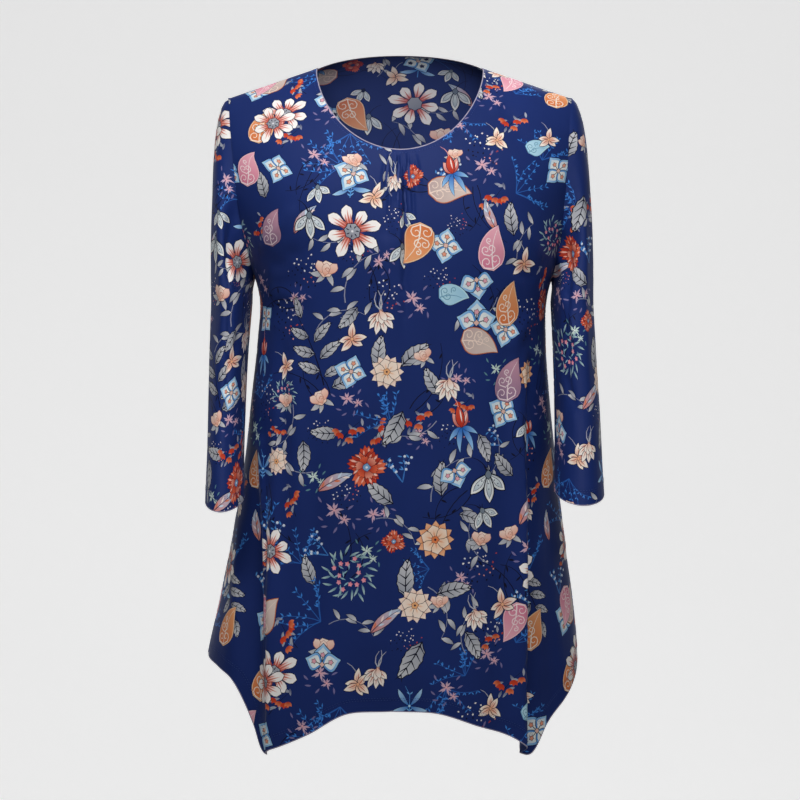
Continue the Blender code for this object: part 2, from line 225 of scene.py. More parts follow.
# piece, x and height of the upper end, x and height of the lower end, half width, rise
CREASE_COLUMNS = ("piece", "x_a", "z_a", "x_b", "z_b", "half", "rise")
CREASES = (
    ("front", -0.014, -0.104, -0.022, -0.150, 0.0026, 0.0027),
    ("front", -0.009, -0.103, -0.013, -0.185, 0.0024, 0.0034),
    ("front", -0.004, -0.102, -0.006, -0.160, 0.0022, 0.0031),
    ("front", 0.001, -0.102, 0.002, -0.215, 0.0026, 0.0037),
    ("front", 0.006, -0.102, 0.009, -0.170, 0.0023, 0.0032),
    ("front", 0.011, -0.103, 0.016, -0.195, 0.0025, 0.0031),
    ("front", 0.016, -0.104, 0.025, -0.155, 0.0026, 0.0026),
    ("front", -0.0115, -0.104, -0.018, -0.165, 0.0022, -0.0024),
    ("front", -0.0015, -0.103, -0.002, -0.190, 0.0022, -0.0027),
    ("front", 0.0085, -0.103, 0.013, -0.180, 0.0022, -0.0026),
    ("front", -0.002, -0.130, -0.002, -0.320, 0.0060, 0.0030),
    ("front", 0.0055, -0.120, 0.0060, -0.300, 0.0036, -0.0042),
    ("front", -0.012, -0.200, -0.016, -0.380, 0.0110, 0.0016),
    ("front", 0.024, -0.230, 0.030, -0.430, 0.0130, 0.0016),
    ("front", -0.158, -0.215, -0.120, -0.165, 0.0070, 0.0030),
    ("front", -0.150, -0.235, -0.098, -0.205, 0.0080, -0.0030),
    ("front", -0.152, -0.260, -0.086, -0.270, 0.0090, 0.0026),
    ("front", -0.138, -0.300, -0.128, -0.460, 0.0100, -0.0036),
    ("front", -0.120, -0.330, -0.112, -0.600, 0.0120, 0.0040),
    ("front", -0.095, -0.450, -0.098, -0.760, 0.0120, -0.0030),
    ("front", 0.162, -0.225, 0.128, -0.170, 0.0070, 0.0028),
    ("front", 0.152, -0.250, 0.105, -0.215, 0.0080, -0.0028),
    ("front", 0.150, -0.285, 0.120, -0.330, 0.0090, 0.0034),
    ("front", 0.118, -0.330, 0.116, -0.620, 0.0110, -0.0034),
    ("front", 0.092, -0.420, 0.094, -0.760, 0.0140, 0.0030),
    ("front", 0.000, -0.480, -0.006, -0.760, 0.0150, -0.0026),
    ("front", -0.036, -0.560, -0.040, -0.770, 0.0120, 0.0022),
    ("front", -0.185, -0.560, -0.198, -0.700, 0.0080, 0.0040),
    ("front", 0.190, -0.560, 0.196, -0.700, 0.0080, -0.0036),
    ("front", 0.1415, -0.325, 0.1420, -0.790, 0.0048, 0.0046),
    ("front", 0.1510, -0.335, 0.1520, -0.790, 0.0050, -0.0070),
    ("front", 0.1330, -0.300, 0.1300, -0.690, 0.0100, 0.0030),
    ("front", -0.1590, -0.430, -0.1580, -0.790, 0.0052, 0.0050),
    ("front", -0.1700, -0.440, -0.1720, -0.790, 0.0070, -0.0080),
    ("front", -0.1860, -0.520, -0.1900, -0.760, 0.0060, 0.0040),
    ("front", -0.1400, -0.290, -0.1380, -0.700, 0.0090, 0.0032),
    ("front", -0.112, -0.045, -0.140, -0.090, 0.0080, -0.0018),
    ("front", 0.116, -0.048, 0.150, -0.100, 0.0090, -0.0018),
    ("back", -0.160, -0.215, -0.110, -0.180, 0.0080, 0.0030),
    ("back", -0.150, -0.245, -0.090, -0.240, 0.0090, -0.0030),
    ("back", 0.162, -0.220, 0.115, -0.175, 0.0080, 0.0030),
    ("back", 0.152, -0.255, 0.095, -0.235, 0.0090, -0.0028),
    ("back", -0.020, -0.080, -0.026, -0.300, 0.0120, 0.0020),
    ("back", 0.018, -0.110, 0.022, -0.360, 0.0110, -0.0020),
    ("back", -0.085, -0.330, -0.094, -0.740, 0.0150, -0.0040),
    ("back", 0.086, -0.350, 0.098, -0.740, 0.0140, 0.0040),
    ("back", 0.000, -0.420, 0.002, -0.760, 0.0140, -0.0034),
    ("back", -0.118, -0.420, -0.122, -0.700, 0.0100, 0.0034),
    ("back", 0.116, -0.400, 0.122, -0.720, 0.0100, -0.0030),
)


def rows_for(columns, rows, piece):
    """The rows of a table that belong to one piece, as named values."""
    named = [dict(zip(columns, row)) for row in rows]
    return [row for row in named if row[columns[0]] == piece]


def fold_offsets(panel, x, z):
    """Rise off the section, and shift along it, that the folds and creases of a panel give."""
    rise = np.zeros_like(x)
    shift = np.zeros_like(x)
    for fold in rows_for(FOLD_COLUMNS, FOLDS, panel):
        share = np.clip((fold["start"] - z) / (fold["start"] - fold["full"]), 0, 1)
        share = share * share * (3 - 2 * share)
        centre = fold["x_top"] + (fold["x_hem"] - fold["x_top"]) * share
        q = (x - centre) / fold["half"]
        bell = np.exp(-q * q)
        lap = fold["lap"]
        shape = bell if lap == 0.0 else -LAP_RISE * q * bell * np.sign(lap)
        rise += share * fold["rise"] * shape
        shift -= share * abs(lap) * LAP_SHIFT * q * bell
    return rise + crease_rise(panel, x, z), shift


def crease_rise(piece, x, z):
    """Rise that the slanting creases of a piece give, each with faded ends."""
    rise = np.zeros_like(x)
    for crease in rows_for(CREASE_COLUMNS, CREASES, piece):
        along = np.array((crease["x_b"] - crease["x_a"], crease["z_b"] - crease["z_a"]))
        length = np.hypot(*along)
        along = along / length
        dx = x - crease["x_a"]
        dz = z - crease["z_a"]
        share = (dx * along[0] + dz * along[1]) / length
        aside = (dx * along[1] - dz * along[0]) / crease["half"]
        fade = np.sin(np.pi * np.clip(share, 0, 1) ** 0.7) ** 0.8
        rise += crease["rise"] * fade * np.exp(-aside * aside)
    return rise


# %% [markdown]
# ## A body panel as a map from flat cloth to the form
#
# A point of a panel has flat coordinates: u, along the cloth from the middle, and v, its drop.
# A table of arc lengths turns u into the turn around the section; the section then gives the
# place. Normals come from the same map, by small steps, and so stay smooth however the print
# splits the mesh into triangles.

# %% Body panels
BUST_ROW = 85
SECTION_SAMPLES = 361
ROW_STEP = 0.004
TURN_STEP = 0.004
DEEPEST = 0.88
FACING = {"front": -1.0, "back": 1.0}
TURNS = np.linspace(-math.pi / 2, math.pi / 2, SECTION_SAMPLES)
DROPS = np.arange(0.0, DEEPEST, ROW_STEP)


def bare_section(panel, turn, drop):
    """Place on the panel's section before any fold, from its turn and its drop."""
    height = -fall(np.maximum(drop - SECTION_LEAD, 0.0))
    half = smooth_column(BODY_COLUMNS, BODY_SECTIONS, "half_width", height)
    depth = smooth_column(BODY_COLUMNS, BODY_SECTIONS, panel, height)
    square = smooth_column(BODY_COLUMNS, BODY_SECTIONS, "square", height)
    middle = smooth_column(BODY_COLUMNS, BODY_SECTIONS, "middle", height)
    across = np.sin(turn)
    x = middle + half * across
    below = np.maximum(drop - ridge_drop(x), 0.0)
    oval = np.sqrt(np.maximum(1 - np.abs(across) ** square, 0.0))
    out = depth * np.interp(below, PROFILE[0], PROFILE[1]) * oval
    return x, out, -ridge_drop(x) - fall(below)


def body_place(panel, turn, drop):
    """Place on the panel with its folds and creases, as an array of points."""
    x, out, z = bare_section(panel, turn, drop)
    x_on, out_on = bare_section(panel, np.minimum(turn + TURN_STEP, math.pi / 2), drop)[:2]
    x_off, out_off = bare_section(panel, np.maximum(turn - TURN_STEP, -math.pi / 2), drop)[:2]
    along_x = x_on - x_off
    along_out = out_on - out_off
    length = np.hypot(along_x, along_out)
    rise, shift = fold_offsets(panel, x, z)
    x = x + (-along_out * rise + along_x * shift) / length
    out = out + (along_x * rise + along_out * shift) / length
    return np.stack((x, FACING[panel] * np.maximum(out, 0.0), z), -1)


def arc_tables(panel):
    """Arc along each row of a panel, counted from its middle, at every turn."""
    turn, drop = np.meshgrid(TURNS, DROPS)
    places = body_place(panel, turn, drop)
    steps = np.linalg.norm(np.diff(places, axis=1), axis=2)
    arc = np.concatenate((np.zeros((len(DROPS), 1)), np.cumsum(steps, axis=1)), axis=1)
    return arc - arc[:, [SECTION_SAMPLES // 2]]


ARCS = {panel: arc_tables(panel) for panel in FACING}
print("girth at the bust", round(sum(np.ptp(ARCS[p], axis=1)[BUST_ROW] for p in FACING), 3))


def turn_of(panel, u, v):
    """Turn around the section of points at flat places u, v."""
    shares = np.linspace(-1, 1, SECTION_SAMPLES)
    arcs = ARCS[panel]
    turns = np.empty_like(arcs)
    for row, arc in enumerate(arcs):
        reach = np.where(shares < 0, -arc[0], arc[-1])
        turns[row] = np.interp(shares * reach, arc, TURNS)
    row = np.clip((v - DROPS[0]) / ROW_STEP, 0, len(DROPS) - 1.001)
    left = np.interp(v, DROPS, -arcs[:, 0])
    right = np.interp(v, DROPS, arcs[:, -1])
    share = u / np.where(u < 0, left, right)
    column = np.clip((share + 1) / 2 * (SECTION_SAMPLES - 1), 0, SECTION_SAMPLES - 1.001)
    return bilinear(turns, row, column)


def bilinear(table, row, column):
    """Values of a table between its rows and columns."""
    r = row.astype(int)
    c = column.astype(int)
    fr = (row - r).reshape(row.shape + (1,) * (table.ndim - 2))
    fc = (column - c).reshape(fr.shape)
    top = table[r, c] * (1 - fc) + table[r, c + 1] * fc
    low = table[r + 1, c] * (1 - fc) + table[r + 1, c + 1] * fc
    return top * (1 - fr) + low * fr


def body_map(panel):
    """The panel's map from flat places to the form."""
    return lambda u, v: body_place(panel, turn_of(panel, u, v), v)


def cut_edge(panel, drop):
    """Flat u of a panel's left and right edge at a drop: armhole above, side seam below."""
    arcs = ARCS[panel]
    row = np.clip((drop - DROPS[0]) / ROW_STEP, 0, len(DROPS) - 1.001)
    low = int(row)
    arc = arcs[low] * (1 - row + low) + arcs[low + 1] * (row - low)
    share = 1.0
    if drop < UNDERARM_DROP:
        share = float(smooth_column(ARMHOLE_COLUMNS, ARMHOLE, "share", drop))
    return np.interp([-math.asin(share), math.asin(share)], TURNS, arc)


def panel_outline(panel):
    """The cut of a panel in flat u, v, as one closed loop of points and their edge names."""
    neck_drop = FRONT_NECK_DROP if panel == "front" else BACK_NECK_DROP
    halves = []
    for name, edge, side in (("left", 0, -1), ("right", 1, 1)):
        half = []
        for turn in np.linspace(0, math.pi / 2, 60)[:-1]:
            drop = neck_drop * math.cos(turn) ** NECK_ROUNDNESS
            half.append((side * math.sin(turn) * NECK_HALF, drop, "neck"))
        for share in np.linspace(NECK_HALF / SHOULDER_HALF, 1.0, 36):
            drop = float(ridge_drop(share * SHOULDER_HALF))
            half.append((share * cut_edge(panel, drop)[edge], drop, "shoulder"))
        for drop in np.linspace(SHOULDER_DROP, UNDERARM_DROP, 84)[1:]:
            half.append((cut_edge(panel, drop)[edge], drop, "armhole"))
        end = float(drop_for(smooth_column(HEM_COLUMNS, HEM, f"{panel}_{name}", 1.0)))
        for drop in np.linspace(UNDERARM_DROP, end, 130)[1:]:
            half.append((cut_edge(panel, drop)[edge], drop, "side"))
        for share in np.linspace(1.0, 0.0, 110)[1:]:
            drop = float(drop_for(smooth_column(HEM_COLUMNS, HEM, f"{panel}_{name}", share)))
            half.append((share * cut_edge(panel, drop)[edge], drop, "hem"))
        halves.append(half)
    left, right = halves
    return right[:-1] + left[:0:-1]

# %% [markdown]
# ## The sleeves
#
# A set-in sleeve starts all round the armhole, leaves it outwards at the shoulder and steeply
# downwards at the underarm, and settles into a slim tube. A smooth curve for each line of the
# sleeve does this: it starts in the cap's direction and ends in the arm's. The flat sleeve is
# then the distance up each line from the cuff, which gives the cap its usual hump.

# %% Sleeve sizes, in metres
SLEEVE_COLUMNS = ("height", "inner", "outer", "forward", "half_depth")
SLEEVES = {
    "sleeve_left": (
        (-0.275, 0.1735, 0.2185, -0.012, 0.0630),
        (-0.330, 0.1770, 0.2195, -0.024, 0.0590),
        (-0.400, 0.1785, 0.2200, -0.045, 0.0540),
        (-0.460, 0.1780, 0.2200, -0.068, 0.0500),
        (-0.494, 0.1760, 0.2200, -0.082, 0.0485),
    ),
    "sleeve_right": (
        (-0.275, 0.1775, 0.2245, -0.012, 0.0620),
        (-0.330, 0.1790, 0.2270, -0.024, 0.0590),
        (-0.400, 0.1790, 0.2300, -0.045, 0.0540),
        (-0.460, 0.1770, 0.2305, -0.068, 0.0510),
        (-0.487, 0.1755, 0.2310, -0.079, 0.0500),
    ),
}
SIDE = {"sleeve_left": -1, "sleeve_right": 1}
CUFF_DIP = 0.010
CAP_LIFT = 17.0
UNDERARM_LIFT = 68.0
CAP_PULL = 0.085
BICEP_PULL = 0.110
SLEEVE_LINES = 144
CAP_RINGS = 44
ARM_RINGS = 56
BICEP = 0.284

# Creases of the sleeves: turn round the sleeve in degrees, 0 at the outer line and 90 at the
# front, and distance up from the cuff, at one end and at the other; half width and rise
SLEEVE_CREASE_COLUMNS = ("piece", "turn_a", "up_a", "turn_b", "up_b", "half", "rise")
SLEEVE_CREASES = (
    ("sleeve_left", 78, 0.46, 112, 0.05, 0.0060, -0.0022),
    ("sleeve_left", 60, 0.40, 84, 0.16, 0.0100, 0.0020),
    ("sleeve_left", 120, 0.30, 70, 0.20, 0.0070, 0.0022),
    ("sleeve_left", 140, 0.22, 84, 0.12, 0.0070, -0.0020),
    ("sleeve_left", 20, 0.36, 30, 0.05, 0.0110, 0.0022),
    ("sleeve_left", 128, 0.40, 96, 0.44, 0.0070, 0.0030),
    ("sleeve_left", 250, 0.40, 300, 0.10, 0.0100, -0.0026),
    ("sleeve_left", 210, 0.30, 280, 0.24, 0.0080, 0.0024),
    ("sleeve_left", 300, 0.42, 330, 0.16, 0.0110, 0.0024),
    ("sleeve_right", 100, 0.45, 126, 0.06, 0.0055, -0.0026),
    ("sleeve_right", 116, 0.38, 140, 0.18, 0.0055, 0.0024),
    ("sleeve_right", 60, 0.36, 72, 0.10, 0.0100, 0.0020),
    ("sleeve_right", 130, 0.24, 72, 0.15, 0.0070, 0.0022),
    ("sleeve_right", 142, 0.16, 90, 0.09, 0.0070, -0.0018),
    ("sleeve_right", 24, 0.40, 36, 0.08, 0.0110, 0.0020),
    ("sleeve_right", 130, 0.41, 100, 0.44, 0.0070, 0.0030),
    ("sleeve_right", 240, 0.38, 296, 0.12, 0.0100, -0.0026),
    ("sleeve_right", 214, 0.28, 276, 0.20, 0.0080, 0.0024),
    ("sleeve_right", 306, 0.44, 334, 0.18, 0.0110, 0.0024),
)


# %% Sleeves
def armhole_place(side, turn):
    """Place on the armhole seam for a turn round the sleeve, in radians."""
    down = np.sin(np.minimum(turn, 2 * math.pi - turn) / 2)
    drop = SHOULDER_DROP + (UNDERARM_DROP - SHOULDER_DROP) * down
    share = np.minimum(smooth_column(ARMHOLE_COLUMNS, ARMHOLE, "share", drop), 1.0)
    around = side * np.arcsin(share)
    front = body_place("front", around, drop)
    back = body_place("back", around, drop)
    return np.where((turn <= math.pi)[:, None], front, back)


def sleeve_grid(name):
    """Points of the sleeve, a row for each ring from the armhole down and a column for each line."""
    side = SIDE[name]
    rows = SLEEVES[name]
    turn = np.linspace(0, 2 * math.pi, SLEEVE_LINES + 1)
    begin = armhole_place(side, turn)
    under = (1 - np.cos(turn)) / 2
    slope = np.radians(CAP_LIFT + (UNDERARM_LIFT - CAP_LIFT) * under)
    out = np.stack((side * np.cos(slope), 0 * slope, -np.sin(slope)), 1)
    bicep = sleeve_ring(rows, rows[0][0], side, turn)
    reach = np.linalg.norm(bicep - begin, axis=1)[:, None]
    leave = out * np.minimum(CAP_PULL, reach)
    arrive = np.array((0.0, 0.0, -1.0)) * np.minimum(BICEP_PULL, reach)
    grid = []
    for t in np.linspace(0, 1, CAP_RINGS, endpoint=False):
        start = (2 * t**3 - 3 * t**2 + 1) * begin + (t**3 - 2 * t**2 + t) * leave
        grid.append(start + (3 * t**2 - 2 * t**3) * bicep + (t**3 - t**2) * arrive)
    for t in np.linspace(0, 1, ARM_RINGS):
        height = rows[0][0] + (rows[-1][0] - rows[0][0]) * t
        ring = sleeve_ring(rows, height, side, turn)
        ring[:, 2] -= CUFF_DIP * t * t * np.sin(turn)
        grid.append(ring)
    return np.array(grid)


def sleeve_ring(rows, height, side, turn):
    """Horizontal oval of the sleeve at a height."""
    inner, outer, forward, depth = (
        smooth_column(SLEEVE_COLUMNS, rows, name, height) for name in SLEEVE_COLUMNS[1:]
    )
    x = side * ((outer + inner) / 2 + (outer - inner) / 2 * np.cos(turn))
    return np.stack((x, forward - depth * np.sin(turn), np.full_like(turn, height)), 1)


def creased_sleeve(name):
    """The sleeve's grid with its creases pressed in, and each point's height above the cuff."""
    grid = sleeve_grid(name)
    steps = np.linalg.norm(np.diff(grid, axis=0), axis=2)
    up = np.concatenate((np.cumsum(steps[::-1], axis=0)[::-1], np.zeros((1, grid.shape[1]))))
    round_it = np.gradient(grid, axis=1)
    round_it[:, 0] = round_it[:, -1] = (grid[:, 1] - grid[:, -2]) / 2
    normal = np.cross(np.gradient(grid, axis=0), round_it) * -SIDE[name]
    normal /= np.linalg.norm(normal, axis=2)[..., None]
    around = np.linspace(0, BICEP, grid.shape[1])[None, :] + 0 * up
    rise = 0 * up
    for crease in rows_for(SLEEVE_CREASE_COLUMNS, SLEEVE_CREASES, name):
        a = np.array((crease["turn_a"] / 360 * BICEP, crease["up_a"]))
        b = np.array((crease["turn_b"] / 360 * BICEP, crease["up_b"]))
        along = (b - a) / np.hypot(*(b - a))
        dx = around - a[0]
        dz = up - a[1]
        share = (dx * along[0] + dz * along[1]) / np.hypot(*(b - a))
        aside = (dx * along[1] - dz * along[0]) / crease["half"]
        fade = np.sin(np.pi * np.clip(share, 0, 1) ** 0.8)
        rise += crease["rise"] * fade * np.exp(-aside * aside)
    return grid + normal * rise[..., None], up


def sleeve_map(name):
    """The sleeve's map from flat places to the form. u runs round it, v up from the cuff."""
    grid, up = creased_sleeve(name)
    shares = np.linspace(0, 1, 121)
    even = np.empty((len(shares), grid.shape[1], 3))
    for line in range(grid.shape[1]):
        reach = up[::-1, line] / up[0, line]
        for axis in range(3):
            even[:, line, axis] = np.interp(shares, reach, grid[::-1, line, axis])
    lengths = up[0]

    def place(u, v):
        column = np.clip(u / BICEP * SLEEVE_LINES, 0, SLEEVE_LINES - 0.001)
        length = np.interp(column, np.arange(SLEEVE_LINES + 1), lengths)
        row = np.clip(v / length * (len(shares) - 1), 0, len(shares) - 1.001)
        return bilinear(even, row, column)

    return place, lengths


def sleeve_outline(lengths):
    """The cut of a sleeve in flat u, v, with its underarm seam at both sides."""
    half = len(lengths) // 2
    order = np.concatenate((np.arange(half, len(lengths)), np.arange(1, half + 1)))
    cap = []
    for step, line in enumerate(order):
        cap.append(((half + step) * BICEP / SLEEVE_LINES, lengths[line], "armhole"))
    start = cap[0][0]
    end = cap[-1][0]
    low = lengths[half]
    loop = list(cap)
    for share in np.linspace(0, 1, 60)[1:]:
        loop.append((end, low * (1 - share), "side"))
    for share in np.linspace(0, 1, 100)[1:]:
        loop.append((end + (start - end) * share, 0.0, "cuff"))
    for share in np.linspace(0, 1, 60)[1:-1]:
        loop.append((start, low * share, "side"))
    return loop

# %% [markdown]
# ## Drawing the print
#
# The cloth is printed with flowers, scrolled leaves and sprays on navy. Each motif is drawn here
# in millimetres, upright, from a few kinds of shape: a blade (petal or leaf), a ring with lobes,
# and a stroke along a line. A shape may fade from one colour at its start to another at its end,
# as a printed petal does. Most are outlined by the same shape, grown a little and laid under it.

# %% Shapes for drawing
GROUND = linear("#182D6B")
INK = linear("#12163A")


def blade(length, width, belly=0.5, full=1.0, bend=0.0, steps=6):
    """A petal or leaf that grows up from the origin, widest at its belly."""
    share = np.linspace(0, 1, steps + 1)
    half = np.sin(np.pi * share ** (math.log(0.5) / math.log(belly)))
    half = width / 2 * np.maximum(half, 0) ** full
    lean = bend * share
    step = length / steps
    x = np.concatenate(([0], np.cumsum(np.sin(lean[1:]) * step)))
    y = np.concatenate(([0], np.cumsum(np.cos(lean[1:]) * step)))
    centre = np.stack((x, y), 1)
    aside = np.stack((np.cos(lean), -np.sin(lean)), 1) * half[:, None]
    return np.concatenate((centre + aside, (centre - aside)[-2:0:-1]))


def ring(radius, count=10, lobes=0, depth=0.0, phase=0.0):
    """A round shape, with lobes if wanted."""
    turn = np.linspace(0, 2 * math.pi, count, endpoint=False) + phase
    reach = radius * (1 + depth * np.cos(lobes * turn))
    return np.stack((reach * np.cos(turn), reach * np.sin(turn)), 1)


def stroke(points, width, taper=0.4):
    """A line of some width that thins towards its end."""
    points = np.array(points, float)
    along = np.gradient(points, axis=0)
    along /= np.maximum(np.linalg.norm(along, axis=1), 1e-9)[:, None]
    half = width / 2 * np.linspace(1, taper, len(points))[:, None]
    aside = np.stack((along[:, 1], -along[:, 0]), 1) * half
    return np.concatenate((points + aside, (points - aside)[::-1]))


def arc(start, heading, length, turn, steps=6):
    """Points of a line that leaves a start at a heading in degrees and turns by some more."""
    angles = np.radians(heading + turn * np.linspace(0, 1, steps))
    step = length / (steps - 1)
    dx = np.concatenate(([0], np.cumsum(np.cos(angles[1:]) * step)))
    dy = np.concatenate(([0], np.cumsum(np.sin(angles[1:]) * step)))
    return np.stack((start[0] + dx, start[1] + dy), 1)


def curl(start, heading, lead, radius, hand):
    """Points of a scroll: a straight lead, then a line that winds into itself."""
    angles = np.radians(heading + hand * np.linspace(0, 400, 10))
    step = radius * math.radians(44) * np.linspace(1.25, 0.30, 10)
    step[0] = lead
    way = np.stack((np.cos(angles), np.sin(angles)), 1) * step[:, None]
    return np.concatenate(([start], np.array(start) + np.cumsum(way, axis=0)))


def moved(points, turn=0.0, at=(0.0, 0.0), size=1.0):
    """A shape turned by degrees, scaled and moved."""
    c, s = math.cos(math.radians(turn)), math.sin(math.radians(turn))
    return size * np.asarray(points) @ np.array(((c, s), (-s, c))) + np.array(at)


def grown(points, by):
    """A shape grown outwards all round."""
    return inset(points, -by)


class Motif(list):
    """A stack of flat shapes, each with its two colours and where they start and end."""

    def lay(self, points, first, last=None, start=(0, 0), end=(0, 1), outline=None, by=0.8):
        """Lay one shape on top, with an outline under it if a colour for one is given."""
        first = linear(first) if isinstance(first, str) else first
        last = first if last is None else linear(last)
        if outline:
            ink = linear(outline)
            self.append((grown(points, by), ink, ink, np.zeros(2), np.zeros(2)))
        way = np.array(end, float) - np.array(start, float)
        self.append((points, first, last, np.array(start, float), way / (way @ way)))

    def add(self, other, turn=0.0, at=(0.0, 0.0), size=1.0):
        """Lay a whole motif on top."""
        c, s = math.cos(math.radians(turn)), math.sin(math.radians(turn))
        spin = np.array(((c, s), (-s, c)))
        for points, first, last, start, slope in other:
            place = moved(points, turn, at, size)
            self.append((place, first, last, moved(start, turn, at, size), slope @ spin / size))


def inset(points, distance):
    """A closed loop moved inwards by a distance."""
    after = np.roll(points, -1, 0) - np.roll(points, 1, 0)
    after /= np.maximum(np.linalg.norm(after, axis=1), 1e-9)[:, None]
    inward = np.stack((-after[:, 1], after[:, 0]), 1) * np.sign(signed_area(points))
    return points + inward * distance


def signed_area(points):
    """Area of a closed loop of flat points, positive when it runs anticlockwise."""
    x, y = points[:, 0], points[:, 1]
    return 0.5 * np.sum(x * np.roll(y, -1) - np.roll(x, -1) * y)


# %% [markdown]
# ## The flowers
#
# The large flowers carry the print: long-petalled daisies that blush coral towards the middle,
# pale blue winged flowers with small blossoms inside, ruffled red carnations and round peach
# rosettes.


# %% Large flowers, in millimetres
def daisy():
    made = Motif()
    for k in range(8):
        reach = (25, 27, 24, 28, 23, 26, 28, 22)[k]
        lean = 0.16 * (-1) ** k
        petal = blade(reach, 12.0, 0.70, 0.62, lean, 7) + (0, 4)
        leaf = Motif()
        leaf.lay(petal, "#DE4F36", "#FFFAF6", (0, 8), (0, reach * 0.74), "#141230")
        for share, width, x, root, tip, end in (
            (0.62, 1.9, -2.6, "#A92F22", "#E98F78", 20),
            (0.78, 2.1, 0.4, "#B83322", "#EDA08B", 25),
            (0.56, 1.8, 3.0, "#A92F22", "#E98F78", 19),
        ):
            streak = blade(reach * share, width, 0.3, 1, lean, 3) + (x, 5)
            leaf.lay(streak, root, tip, (0, 6), (0, end))
        made.add(leaf, k * 45 + (4, -7, 3, -4, 8, -3, 5, -6)[k])
    made.lay(ring(8.2, 14, 7, 0.08), "#8D919C", "#A9ACB4", (-6, -6), (6, 6), "#1B1836")
    for k in range(7):
        made.lay(moved(blade(4.4, 1.5, 0.5, 1, 0.9, 3), k * 51 + 30, moved((0, 3.2), k * 51)), "#2B2E45")
    made.lay(ring(1.5, 5), "#E7E8EA")
    return made


def blossom(tint):
    """The small outlined blossom on a dark stalk inside a winged petal."""
    made = Motif()
    made.lay(stroke(((0, 2), (0, 10)), 1.0, 0.8), "#20203C")
    made.lay(moved(ring(2.4, 10, 5, 0.26), at=(0, 10.5)), tint, outline="#20203C", by=0.6)
    return made


def winged(turns=(45, -45, 135, -135), tint="#F0A183", petal_wide=0.90):
    made = Motif()
    for k, turn in enumerate(turns):
        reach = (23, 21, 22, 20)[k]
        leaf = Motif()
        wing = blade(reach, reach * petal_wide, 0.44, 1.35, 0.0, 7)
        leaf.lay(wing, "#5C9BDB", "#A9D5F3", (0, 6), (0, reach), "#131A44", 0.8)
        leaf.lay(moved(wing, 0, (0, 2.2), 0.74), "#F1F3EE", "#D3E3EC", (0, 6), (0, reach * 0.8))
        leaf.add(blossom(tint))
        made.add(leaf, turn)
    made.lay(ring(2.6, 8, 4, 0.2), "#E9C0AF", outline="#20203C", by=0.6)
    return made


def ruffle(length, width):
    """A petal with a torn, frilled end."""
    x = (-0.18, -0.50, -0.46, -0.27, -0.15, 0.02, 0.15, 0.30, 0.47, 0.50, 0.18)
    y = (0.0, 0.55, 0.86, 0.79, 1.0, 0.86, 0.98, 0.80, 0.88, 0.55, 0.0)
    return np.stack((np.array(x) * width, np.array(y) * length), 1)


def carnation():
    made = Motif()
    for k in range(9):
        reach = (24, 19, 22, 17, 23, 20, 16, 22, 19)[k]
        leaf = Motif()
        base, edge = (("#A52A1A", "#E4573A"), ("#C73A20", "#EE7B58"), ("#8E2018", "#D2442B"))[k % 3]
        leaf.lay(ruffle(reach, 15), base, edge, (0, 6), (0, reach), "#2A1230", 0.7)
        glint = blade(reach * 0.42, 2.6, 0.6, 1, 0, 3) + (2.4, reach * 0.5)
        leaf.lay(glint, "#F9D9CE", "#F19B7F", (0, 9), (0, 22))
        leaf.lay(blade(reach * 0.34, 1.8, 0.6, 1, 0, 3) + (-3.2, reach * 0.45), "#F4B49E")
        made.add(leaf, k * 40 + (0, 9, -6, 4, -8, 6, 2, -5, 7)[k])
    for k in range(6):
        leaf = Motif()
        edge = ("#EC6C48", "#F4A58C")[k % 2]
        leaf.lay(ruffle(12, 9.5) + (0, 1), "#B5301D", edge, (0, 3), (0, 13), "#5E1518", 0.5)
        made.add(leaf, k * 60 + 20)
    made.lay(ring(4.0, 9, 5, 0.14), "#7FA6CF", outline="#31406B", by=0.7)
    made.lay(ring(1.5, 5), "#E9EEF2")
    return made


def rosette(outer="#E9935F", inner="#F8D3B4", heart="#E5824F", rim="#F6C39A"):
    made = Motif()
    for reach, width, count, tint, glow in ((22, 9, 12, outer, rim), (17, 13, 6, inner, "#FCEBDC")):
        for k in range(count):
            leaf = Motif()
            petal = blade(reach, width, 0.66, 0.8, 0, 4)
            leaf.lay(petal, tint, glow, (0, reach * 0.55), (0, reach), "#3E2234", 0.6)
            leaf.lay(blade(reach * 0.62, 2.2, 0.5, 1, 0, 2) + (0, 2), heart, inner, (0, 3), (0, reach * 0.7))
            made.add(leaf, k * 360 / count + (0 if count > 6 else 12))
    made.lay(ring(4.2, 10, 5, 0.12), heart, outline="#6E2F2A", by=0.5)
    made.lay(ring(1.5, 5), "#4A2430")
    return made


def lily(petals=5, pale="#FDEFE3", blush="#E8A384"):
    made = Motif()
    made.lay(stroke(arc((0, 4), 70, 26, 70, 5), 1.2), "#B4B6BE")
    for k in range(petals):
        reach = (19, 15, 18, 14, 17, 15)[k]
        leaf = Motif()
        lean = 0.3 * (-1) ** k
        petal = blade(reach, 8.0, 0.42, 0.9, lean, 6)
        leaf.lay(petal, blush, pale, (0, 1), (0, reach * 0.7), "#1E1A38", 0.8)
        leaf.lay(blade(reach * 0.7, 1.3, 0.4, 1, lean, 3) + (0.6, 1), "#C9705A")
        leaf.lay(blade(reach * 0.5, 0.9, 0.4, 1, lean, 2) + (-1.6, 2), "#DDA08A")
        made.add(leaf, k * 360 / petals + (0, 8, -6, 5, -9, 3)[k])
    made.lay(ring(1.9, 6), "#F0B58C", outline="#8A4A40", by=0.4)
    return made


